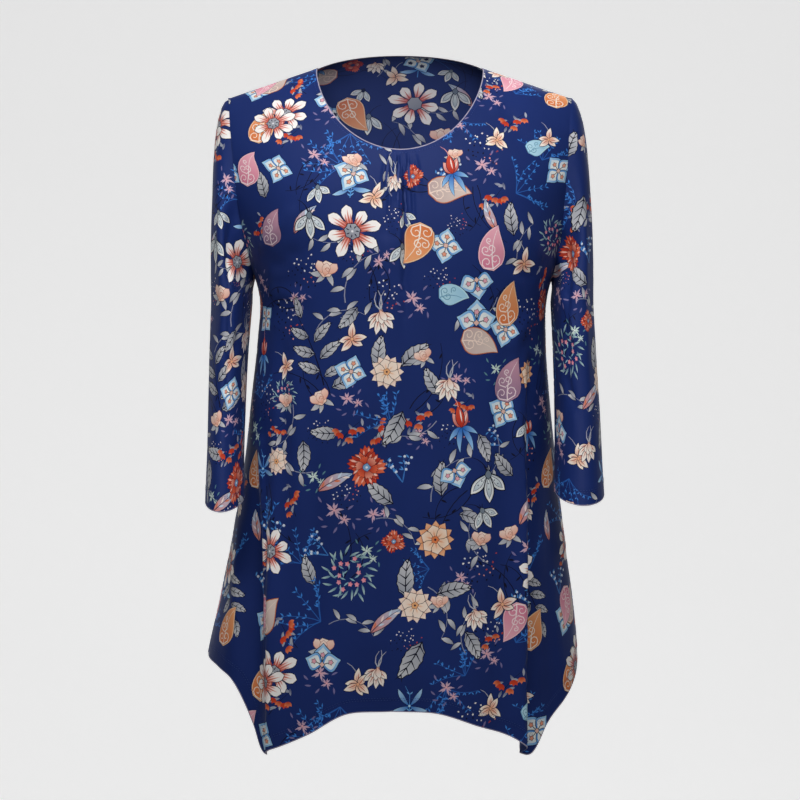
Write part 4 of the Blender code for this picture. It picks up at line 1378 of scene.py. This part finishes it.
def grid_points(loop, gathered):
    """Rows of points inside the cut: close to its edge, over the gathers, then everywhere."""
    rows = [inset(loop, distance)[::2] for distance in EDGE_ROWS]
    grid = staggered(loop.min(0), loop.max(0), GRID_ACROSS, GRID_DOWN)
    if gathered:
        grid = np.concatenate((grid, staggered(*GATHER_ZONE, GATHER_GRID, 2 * GATHER_GRID)))
    return np.concatenate(rows + [grid[inside_cut(grid, inset(loop, GRID_MARGIN))]])


def triangulate(points, edges):
    """Vertices and triangles of flat points that keep the given edges."""
    made = delaunay_2d_cdt(points.tolist(), edges.tolist(), [], 0, EXACT, False)
    return np.array([tuple(point) for point in made[0]]), np.array(made[2])


def triangle_edges(triangles):
    """The three edges of every triangle, each in its triangle's own direction."""
    return np.concatenate([triangles[:, [0, 1]], triangles[:, [1, 2]], triangles[:, [2, 0]]])


def visible_edges(triangles, top):
    """Edges with another shape on their other side, and edges on the rim."""
    owner = np.tile(top, 3)
    keys = np.sort(triangle_edges(triangles), axis=1)
    order = np.lexsort((keys[:, 1], keys[:, 0]))
    keys, owner = keys[order], owner[order]
    fresh = np.concatenate(([True], (keys[1:] != keys[:-1]).any(1)))
    first = np.flatnonzero(fresh)
    count = np.diff(np.concatenate((first, [len(keys)])))
    rim = first[count == 1]
    pair = first[count == 2]
    pair = pair[owner[pair] != owner[pair + 1]]
    return keys[pair], keys[rim]


def compact(points, rows):
    """The points that rows of indices use, and the rows renumbered to them."""
    used = np.unique(rows)
    renumber = np.zeros(len(points), int)
    renumber[used] = np.arange(len(used))
    return points[used], renumber[rows]


def face_mesh(loop, shapes, gathered, rim=None):
    """One face of a piece as flat vertices, triangles and corner colours, with no hidden edge.

    rim gives the flat vertices of the other face's rim, in pairs, one for each of its edges.
    This face then takes them for its own, and its print stops just short of it.
    """
    edge = loop if rim is None else inset(loop, PRINT_MARGIN)
    low, high = loop.min(0), loop.max(0)
    shapes = [row for row in shapes if (row[0].max(0) > low).all() and (row[0].min(0) < high).all()]
    loops = [edge] + [polygon for polygon, _ in shapes]
    sizes = np.array([len(each) for each in loops])
    after = np.arange(sizes.sum()) + 1
    after[np.cumsum(sizes) - 1] -= sizes
    flat, triangles = triangulate(np.concatenate(loops), np.stack((np.arange(len(after)), after), 1))
    middles = flat[triangles].mean(1)
    inside = inside_cut(middles, edge)
    triangles, middles = triangles[inside], middles[inside]
    shown, own_rim = visible_edges(triangles, topmost(middles, shapes))
    edges = shown if rim is not None else np.concatenate((shown, own_rim))
    points, edges = compact(flat, edges)
    points = np.concatenate((points, grid_points(loop, gathered)))
    if rim is not None:
        pairs = np.arange(len(rim) * 2).reshape(-1, 2) + len(points)
        points = np.concatenate((points, rim.reshape(-1, 2)))
        edges = np.concatenate((edges, pairs))
    flat, faces = triangulate(points, edges)
    middles = flat[faces].mean(1)
    inside = inside_cut(middles, loop)
    faces, middles = faces[inside], middles[inside]
    owner = np.where(inside_cut(middles, edge), topmost(middles, shapes), 0)
    flat, faces = compact(flat, faces)
    fills = [(GROUND, GROUND, (0.0, 0.0), (0.0, 0.0))] + [fill for _, fill in shapes]
    first, last, origin, slope = (np.array([fill[k] for fill in fills])[owner] for k in range(4))
    share = ((flat[faces] - origin[:, None]) * slope[:, None]).sum(2)
    share = np.clip(share, 0, 1)[..., None]
    return flat, faces, first[:, None] * (1 - share) + last[:, None] * share


# %% [markdown]
# ## From flat piece to shell
#
# The outer face is the flat piece on its form. The inner face is the same mesh one cloth
# thickness inside, and a strip along the cut joins the two. Along a seam the edge dips a
# millimetre inwards, which is the groove that stitching pulls. The turned edge of the neck, the
# cuffs and the hem is painted as a thin pale line on the face and on the cut edge: a painted
# highlight where the fold catches the light.


# %% Build a shell
def flat_loop(outline):
    """The points of a cut, without the names of its edges."""
    return np.array([(u, v) for u, v, _ in outline])


def edge_run(outline, edge):
    """Numbers of a cut's points along one named edge, in order, or none without such an edge."""
    marked = np.array([row[2] == edge for row in outline])
    if not marked.any():
        return []
    first = int(np.flatnonzero(marked & ~np.roll(marked, 1))[0])
    return (first + np.arange(int(marked.sum()))) % len(outline)


def edge_distance(flat, outline, names):
    """Distance of each flat vertex from the parts of the cut that have these names."""
    marks = np.array([(u, v) for u, v, name in outline if name in names])
    found = np.full(len(flat), 1.0)
    for low in range(0, len(flat), 4000):
        part = flat[low : low + 4000]
        gap = np.sqrt(((part[:, None] - marks[None]) ** 2).sum(2))
        found[low : low + 4000] = gap.min(1)
    return found


def form_of(place, flat):
    """Places and unit normals of flat vertices on the form."""
    u, v = flat.T
    at = place(u, v)
    across = place(u + NORMAL_STEP, v) - place(u - NORMAL_STEP, v)
    down = place(u, v + NORMAL_STEP) - place(u, v - NORMAL_STEP)
    normal = np.cross(across, down)
    normal /= np.maximum(np.linalg.norm(normal, axis=1), 1e-12)[:, None]
    return at, normal


def on_form(flat, outline, place, seams):
    """Places and normals of flat vertices, dipped along the seams."""
    at, normal = form_of(place, flat)
    near = edge_distance(flat, outline, seams)
    return at - normal * (SEAM_DIP * np.exp(-((near / SEAM_HALF) ** 2)))[:, None], normal


def seen_inside(name, polygon):
    """Whether a shape is drawn on the wrong side: bold ones are, and all behind the neck."""
    u, v = polygon.mean(0)
    by_neck = name == "back" and abs(u) < NECK_HALF + 0.008 and v < FRONT_NECK_DROP + 0.01
    return abs(signed_area(polygon)) > (FINE if by_neck else BOLD)


def edge_highlight_bands(outline):
    """Thin bands of painted highlight along the turned edges of a cut, where the fold catches the light."""
    loop = flat_loop(outline)
    within = inset(loop, EDGE_BAND)
    fill = (EDGE_HIGHLIGHT, EDGE_HIGHLIGHT, np.zeros(2), np.zeros(2))
    runs = [edge_run(outline, edge) for edge in ("neck", "hem", "cuff")]
    return [(np.concatenate((loop[run], within[run][::-1])), fill) for run in runs if len(run)]


def closing_strip(faces, rim, flat, faces_in, flat_in):
    """Triangles that join each rim edge to the same flat vertices on the inner face."""
    count = len(flat)
    edge_out = np.unique(rim)
    edge_in = np.unique(visible_edges(faces_in, np.zeros(len(faces_in), int))[1])
    gaps = np.linalg.norm(flat[edge_out][:, None] - flat_in[edge_in][None], axis=2)
    twin = np.zeros(count, int)
    twin[edge_out] = edge_in[gaps.argmin(1)] + count
    ends = triangle_edges(faces)
    found = np.unique(np.sort(ends, axis=1), axis=0, return_inverse=True, return_counts=True)
    a, b = ends[found[2][found[1].ravel()] == 1].T
    strip = np.concatenate([np.stack((b, a, twin[a]), 1), np.stack((b, twin[a], twin[b]), 1)])
    return strip[(strip != np.roll(strip, 1, 1)).all(1)]


def mesh_object(name, places, triangles, normals, paint, flat):
    """A mesh with its normals, a colour on each corner and the flat cut as its UV map."""
    mesh = bpy.data.meshes.new(name)
    mesh.from_pydata(places.tolist(), [], triangles.tolist())
    # The print colours also hold the painted highlight along the turned edges of neck, cuffs and hem
    layer = mesh.color_attributes.new("print", "FLOAT_COLOR", "CORNER")
    layer.data.foreach_set("color", np.column_stack((paint, np.ones(len(paint)))).ravel())
    uv = mesh.uv_layers.new(name="cut")
    uv.data.foreach_set("uv", flat[triangles].reshape(-1))
    mesh.shade_smooth()
    mesh.normals_split_custom_set_from_vertices(normals.tolist())
    made = bpy.data.objects.new(name, mesh)
    bpy.context.scene.collection.objects.link(made)
    return made


def make_shell(name, shapes, seams):
    """A printed piece as a closed thin shell with a colour on each corner."""
    outline, place, outward = FORMS[name]
    loop = flat_loop(outline)
    # The outer face takes the print and the bands of painted highlight along the turned edges
    flat, faces, colours = face_mesh(loop, shapes + edge_highlight_bands(outline), name == "front")
    rim = visible_edges(faces, np.zeros(len(faces), int))[1]
    seen = [(polygon, fill) for polygon, fill in shapes if seen_inside(name, polygon)]
    flat_in, faces_in, colours_in = face_mesh(loop, seen, False, flat[rim])
    at, normal = on_form(flat, outline, place, seams)
    at_in, normal_in = on_form(flat_in, outline, place, seams)
    normal, normal_in = normal * outward, normal_in * outward
    at_in = at_in - normal_in * CLOTH
    corner = at[faces]
    area = np.cross(corner[:, 1] - corner[:, 0], corner[:, 2] - corner[:, 0])
    if (area * normal[faces].sum(1)).sum() < 0:
        faces, colours = faces[:, ::-1], colours[:, ::-1]
    else:
        faces_in, colours_in = faces_in[:, ::-1], colours_in[:, ::-1]
    strip = closing_strip(faces, rim, flat, faces_in, flat_in)
    pale = colours_in * (1 - HAZE_SHARE) + HAZE * HAZE_SHARE
    sewn = edge_distance(flat[strip[:, 0]], outline, seams) < SEWN
    # The cut edge is painted too: the pale painted highlight along neck, cuffs and hem, and the ground
    # colour along the seams
    turned = np.where(sewn[:, None, None], GROUND, EDGE_HIGHLIGHT) * np.ones((1, 3, 1))
    piece = mesh_object(
        name,
        np.concatenate([at, at_in]),
        np.concatenate([faces, faces_in + len(at), strip]),
        np.concatenate([normal, -normal_in]),
        np.concatenate([colours, pale, turned]).reshape(-1, 3),
        np.concatenate([flat, flat_in]),
    )
    cloth = round(float(np.linalg.norm(area, axis=1).sum() / 2), 4)
    print(name, len(faces), "+", len(faces_in), "triangles,", cloth, "m2")
    return piece, (np.ptp(flat[:, 0]), np.ptp(flat[:, 1]), abs(signed_area(loop)))


# %% [markdown]
# ## Cut out and build the four pieces
#
# The front and back take the print straight down. On a sleeve it runs up the arm, and where the
# cap widens the drawing is squeezed by as much as the form stretches it, so flowers keep their
# shape.

# %% Build the pieces
PIECES = {}
CUTS = {}
FORMS = {}
PRINT_START = {
    "front": (0.0, 0.0),
    "back": (-40.0, 170.0),
    "sleeve_left": (60.0, 60.0),
    "sleeve_right": (255.0, 330.0),
}
PRINT_MIDDLE = BICEP * 0.25
STRETCH_STEP = 0.004
STRETCH_LIMITS = (0.7, 1.7)
PANEL_SEAMS = ("shoulder", "armhole", "side")
SLEEVE_SEAMS = ("armhole", "side")


def build_panel(name):
    """Front or back: cut, print and shell."""
    outline = panel_outline(name)
    loop = flat_loop(outline)
    facing = -FACING[name]
    stretch = np.array(((facing, 0.0), (0.0, -1.0))) / 1000
    start = np.array(PRINT_START[name])

    def to_flat(x, y):
        return np.array((facing * x, y)) / 1000, stretch

    across = np.sort(loop[:, 0] * facing) * 1000 + start[0]
    down = loop[:, 1] * 1000 + start[1]
    shapes = printed((across[0], down.min()), (across[-1], down.max()), to_flat, start)
    FORMS[name] = (outline, body_map(name), FACING[name])
    PIECES[name], CUTS[name] = make_shell(name, shapes, PANEL_SEAMS)


def build_sleeve(name):
    """One sleeve: cut, print and shell."""
    place, lengths = sleeve_map(name)
    outline = sleeve_outline(lengths)
    loop = flat_loop(outline)
    facing = -SIDE[name]
    start = np.array(PRINT_START[name])
    top = lengths.max()

    def wrapped(u, v):
        return place(np.mod(u, BICEP), v)

    def to_flat(x, y):
        centre = np.array((facing * x / 1000 + PRINT_MIDDLE, top - y / 1000))
        near = np.clip(centre, loop.min(0) + 0.01, loop.max(0) - 0.01)
        aside = wrapped(near[:1] + STRETCH_STEP, near[1:]) - wrapped(near[:1], near[1:])
        wide = float(np.clip(np.linalg.norm(aside) / STRETCH_STEP, *STRETCH_LIMITS))
        return centre, np.array(((facing / wide, 0.0), (0.0, 1.0))) / 1000

    sides = np.sort((loop[:, 0] - PRINT_MIDDLE) * facing) * 1000 + start[0]
    shapes = printed((sides[0], start[1]), (sides[-1], start[1] + top * 1000), to_flat, start)
    FORMS[name] = (outline, wrapped, -SIDE[name])
    PIECES[name], CUTS[name] = make_shell(name, shapes, SLEEVE_SEAMS)


for name in FACING:
    build_panel(name)
for name in SLEEVES:
    build_sleeve(name)

# %% [markdown]
# ## Rows of stitches
#
# Neck, cuffs and hem are turned in and stitched down. A coverstitch holds the cuffs and the hem
# with two rows of short navy stitches, and the neck has a single row near its edge. The rows are
# lines on the form, and Geometry Nodes set one stitch, a small flat lozenge of thread, at even
# steps along them.

# %% Stitches
STITCH_STEP = 0.0032
STITCH_LENGTH = 0.0023
STITCH_WIDE = 0.0006
STITCH_ROWS = {"neck": (0.0052,), "cuff": (0.0150, 0.0172), "hem": (0.0130, 0.0152)}
ROW_LIFT = 0.00035
TWIST_SCALE = 700.0


def thread_material():
    """Matt polyester thread, a little lighter than the ground."""
    material = bpy.data.materials.new("stitching thread")
    material.use_nodes = True
    tree = material.node_tree
    shader = tree.nodes["Principled BSDF"]
    shader.inputs["Roughness"].default_value = 0.55
    shader.inputs["Specular IOR Level"].default_value = 0.2
    place = add_node(tree, "ShaderNodeTexCoord")
    twist = add_node(
        tree, "ShaderNodeTexNoise", values={"Scale": TWIST_SCALE}, links={"Vector": place.outputs["Object"]},
    )
    tint = add_node(tree, "ShaderNodeMix", {"data_type": "RGBA"})
    tree.links.new(twist.outputs["Fac"], tint.inputs["Factor"])
    tint.inputs[6].default_value = (*linear("#1D3370"), 1.0)
    tint.inputs[7].default_value = (*linear("#33498A"), 1.0)
    tree.links.new(tint.outputs[2], shader.inputs["Base Color"])
    return material


def one_stitch():
    """A stitch lying along X: a flat lozenge with a raised middle."""
    long, wide, high = STITCH_LENGTH / 2, STITCH_WIDE / 2, STITCH_WIDE * 0.45
    mesh = bpy.data.meshes.new("stitch")
    points = [(-long, 0, 0), (0, -wide, 0), (long, 0, 0), (0, wide, 0), (0, 0, high), (0, 0, -high)]
    faces = [(0, 1, 4), (1, 2, 4), (2, 3, 4), (3, 0, 4), (1, 0, 5), (2, 1, 5), (3, 2, 5), (0, 3, 5)]
    mesh.from_pydata(points, [], faces)
    return bpy.data.objects.new("stitch", mesh)


def stitch_tree(stitch):
    """Geometry Nodes that set stitches along a line: Spacing and Thread are its inputs."""
    tree = bpy.data.node_groups.new("stitches along a line", "GeometryNodeTree")
    tree.is_modifier = True
    faces = tree.interface
    faces.new_socket("Geometry", in_out="INPUT", socket_type="NodeSocketGeometry")
    faces.new_socket("Spacing", in_out="INPUT", socket_type="NodeSocketFloat")
    faces.new_socket("Thread", in_out="INPUT", socket_type="NodeSocketMaterial")
    faces.new_socket("Geometry", in_out="OUTPUT", socket_type="NodeSocketGeometry")
    given = add_node(tree, "NodeGroupInput")
    curve = add_node(tree, "GeometryNodeMeshToCurve", links={"Mesh": given.outputs["Geometry"]})
    even = add_node(
        tree, "GeometryNodeCurveToPoints", {"mode": "LENGTH"},
        links={"Curve": curve.outputs["Curve"], "Length": given.outputs["Spacing"]},
    )
    shape = add_node(tree, "GeometryNodeObjectInfo", values={"Object": stitch})
    turn = add_node(
        tree, "FunctionNodeAlignRotationToVector", {"axis": "X"}, links={"Vector": even.outputs["Tangent"]},
    )
    rows = add_node(
        tree, "GeometryNodeInstanceOnPoints",
        links={
            "Points": even.outputs["Points"],
            "Instance": shape.outputs["Geometry"],
            "Rotation": turn.outputs["Rotation"],
        },
    )
    real = add_node(tree, "GeometryNodeRealizeInstances", links={"Geometry": rows.outputs["Instances"]})
    dyed = add_node(
        tree, "GeometryNodeSetMaterial",
        links={"Geometry": real.outputs["Geometry"], "Material": given.outputs["Thread"]},
    )
    add_node(tree, "NodeGroupOutput", links={"Geometry": dyed.outputs["Geometry"]})
    return tree


def stitch_lines(name):
    """Lines on the outer face of a piece, a set distance in from its turned edges."""
    outline, place, outward = FORMS[name]
    lines = []
    for edge, distances in STITCH_ROWS.items():
        run = edge_run(outline, edge)
        for distance in distances if len(run) else ():
            at, normal = form_of(place, inset(flat_loop(outline), distance)[run][1:-1])
            lines.append(at + normal * outward * ROW_LIFT)
    return lines


def sewn_rows(name, tree, thread):
    """The stitches of one piece as a plain mesh."""
    lines = stitch_lines(name)
    points = np.concatenate(lines)
    starts = np.cumsum([0] + [len(line) for line in lines])
    edges = [(k, k + 1) for a, b in zip(starts, starts[1:]) for k in range(a, b - 1)]
    mesh = bpy.data.meshes.new("rows")
    mesh.from_pydata(points.tolist(), edges, [])
    rows = bpy.data.objects.new("rows", mesh)
    bpy.context.scene.collection.objects.link(rows)
    modifier = rows.modifiers.new("stitches", "NODES")
    modifier.node_group = tree
    sockets = {item.name: item.identifier for item in tree.interface.items_tree if item.in_out == "INPUT"}
    modifier[sockets["Spacing"]] = STITCH_STEP
    modifier[sockets["Thread"]] = thread
    depsgraph = bpy.context.evaluated_depsgraph_get()
    made = bpy.data.meshes.new_from_object(rows.evaluated_get(depsgraph))
    rows.modifiers.clear()
    bpy.data.objects.remove(rows)
    sewn = bpy.data.objects.new(f"{name}_stitches", made)
    bpy.context.scene.collection.objects.link(sewn)
    print(sewn.name, len(made.polygons), "faces")
    return sewn


THREAD = thread_material()
STITCH = one_stitch()
STITCH_TREE = stitch_tree(STITCH)
STITCHES = {name: sewn_rows(name, STITCH_TREE, THREAD) for name in PIECES}
bpy.data.objects.remove(STITCH)

# %% [markdown]
# ## Printed jersey
#
# Viscose or polyester jersey is a fine knit: soft, matt, with a faint bloom where it turns away.
# Its wales are ribs of about 0.8 mm, too fine to show from here, so the bump is drawn at about
# twice that and kept shallow.

# %% Jersey material
WALE_MM = 1.5


def printed_jersey(name):
    """Printed knit: its colour comes from the print attribute, with uneven dye and a fine rib."""
    material = bpy.data.materials.new(name)
    material.use_nodes = True
    tree = material.node_tree
    shader = tree.nodes["Principled BSDF"]
    shader.inputs["Roughness"].default_value = 0.60
    shader.inputs["Specular IOR Level"].default_value = 0.14
    shader.inputs["Sheen Weight"].default_value = 0.03
    shader.inputs["Sheen Roughness"].default_value = 0.45
    shader.inputs["Sheen Tint"].default_value = (0.55, 0.65, 1.0, 1.0)
    # This attribute holds the print and the painted highlight along the turned edges
    paint = add_node(tree, "ShaderNodeAttribute", {"attribute_name": "print"})
    place = add_node(tree, "ShaderNodeTexCoord")
    blotch = add_node(
        tree, "ShaderNodeTexNoise", values={"Scale": 9.0, "Detail": 2.0},
        links={"Vector": place.outputs["Object"]},
    )
    shade = add_node(
        tree, "ShaderNodeMapRange",
        values={"From Min": 0.3, "From Max": 0.7, "To Min": 0.76, "To Max": 0.94},
        links={"Value": blotch.outputs["Fac"]},
    )
    dyed = add_node(
        tree, "ShaderNodeVectorMath", {"operation": "SCALE"},
        links={"Vector": paint.outputs["Color"], "Scale": shade.outputs["Result"]},
    )
    tree.links.new(dyed.outputs["Vector"], shader.inputs["Base Color"])
    cut = add_node(tree, "ShaderNodeUVMap", {"uv_map": "cut"})
    wales = add_node(
        tree, "ShaderNodeTexWave", {"wave_type": "BANDS", "bands_direction": "X"},
        values={"Scale": 1000 / WALE_MM / 20, "Distortion": 0.0}, links={"Vector": cut.outputs["UV"]},
    )
    rib = add_node(
        tree, "ShaderNodeBump", values={"Strength": 0.10, "Distance": 0.0003},
        links={"Height": wales.outputs["Fac"]},
    )
    tree.links.new(rib.outputs["Normal"], shader.inputs["Normal"])
    return material


JERSEY = printed_jersey("printed jersey")
for piece in PIECES.values():
    piece.data.materials.append(JERSEY)

# %% [markdown]
#
# Each shell rides on the one body and stands in for its rigid solid, which is hidden. Its
# stitches ride on the same body.

# %% Attach the pieces to the body
for name, piece in PIECES.items():
    piece.name = f"{name}_cloth"
    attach(piece, "root")
    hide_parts(name)
    sewn = STITCHES[name]
    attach(sewn, "root")

# %% [markdown]
# ## Studio
#
# A pale backdrop curves up behind a pale floor. Soft lights stand in front, above and to the
# right, and one behind for the back. The camera looks straight at the front, a little above the
# middle of the garment, and its lens is shifted down to centre it.

# %% Backdrop, lights and camera
PAPER = "#E4E4E4"
PAPER_GLOW = 0.71


def backdrop():
    """Pale paper: a floor that curves up into a wall."""
    floor_z = -2.3
    mesh = bpy.data.meshes.new("backdrop")
    profile = [(-3.5, floor_z), (2.9, floor_z)]
    for turn in np.linspace(0, math.pi / 2, 16)[1:]:
        profile.append((2.9 + 0.4 * math.sin(turn), floor_z + 0.4 * (1 - math.cos(turn))))
    profile.append((3.3, 3.5))
    points = [(x, y, z) for y, z in profile for x in (-5.0, 5.0)]
    faces = [(2 * k, 2 * k + 1, 2 * k + 3, 2 * k + 2) for k in range(len(profile) - 1)]
    mesh.from_pydata(points, [], faces)
    mesh.shade_smooth()
    paper = bpy.data.objects.new("backdrop", mesh)
    bpy.context.scene.collection.objects.link(paper)
    material = bpy.data.materials.new("pale paper")
    material.use_nodes = True
    shader = material.node_tree.nodes["Principled BSDF"]
    shader.inputs["Base Color"].default_value = (*linear(PAPER), 1.0)
    shader.inputs["Roughness"].default_value = 0.9
    shader.inputs["Specular IOR Level"].default_value = 0.0
    shader.inputs["Emission Color"].default_value = (*linear(PAPER), 1.0)
    place = add_node(material.node_tree, "ShaderNodeTexCoord")
    height = add_node(material.node_tree, "ShaderNodeSeparateXYZ", links={"Vector": place.outputs["Object"]})
    glow = add_node(
        material.node_tree, "ShaderNodeMapRange",
        values={"From Min": floor_z, "From Max": floor_z + 0.3, "To Min": 0.1, "To Max": PAPER_GLOW},
        links={"Value": height.outputs["Z"]},
    )
    material.node_tree.links.new(glow.outputs["Result"], shader.inputs["Emission Strength"])
    mesh.materials.append(material)


def soft_light(name, at, aim, size, power):
    """A square light that points at a place."""
    lamp = bpy.data.lights.new(name, "AREA")
    lamp.shape = "SQUARE"
    lamp.size = size
    lamp.energy = power
    light = bpy.data.objects.new(name, lamp)
    bpy.context.scene.collection.objects.link(light)
    light.location = at
    way = np.array(aim) - np.array(at)
    light.rotation_euler = (math.acos(-way[2] / np.linalg.norm(way)), 0, math.atan2(-way[0], way[1]))


backdrop()
soft_light("key", (-0.5, -1.1, 0.9), (0, 0, -0.05), 0.6, 13)
soft_light("front", (0.2, -1.0, 0.55), (0, 0.05, -0.02), 0.4, 6.5)
soft_light("fill", (1.7, -2.0, 0.4), (0, 0, -0.3), 1.2, 3)
soft_light("top", (0.2, -0.5, 1.6), (0, 0, -0.1), 0.8, 6)
soft_light("back", (0.8, 1.8, 1.0), (0, 0, -0.3), 1.0, 12)
world = bpy.data.worlds.new("studio")
world.use_nodes = True
world.node_tree.nodes["Background"].inputs["Color"].default_value = (1.0, 1.0, 1.0, 1.0)
world.node_tree.nodes["Background"].inputs["Strength"].default_value = 0.13
bpy.context.scene.world = world
bpy.context.scene.view_settings.view_transform = "Standard"

CAMERA_AWAY = 2.0
CAMERA_HEIGHT = -0.25
FRAME_MIDDLE = -0.389
FRAME_WIDTH = 0.944
SENSOR_MM = 36.0
lens = bpy.data.cameras.new("camera")
lens.sensor_width = SENSOR_MM
lens.lens = SENSOR_MM * CAMERA_AWAY / FRAME_WIDTH
camera = bpy.data.objects.new("camera", lens)
bpy.context.scene.collection.objects.link(camera)
camera.location = (0.0, -CAMERA_AWAY, CAMERA_HEIGHT)
camera.rotation_euler = (math.pi / 2, 0, 0)
lens.shift_y = (FRAME_MIDDLE - CAMERA_HEIGHT) / FRAME_WIDTH
bpy.context.scene.camera = camera
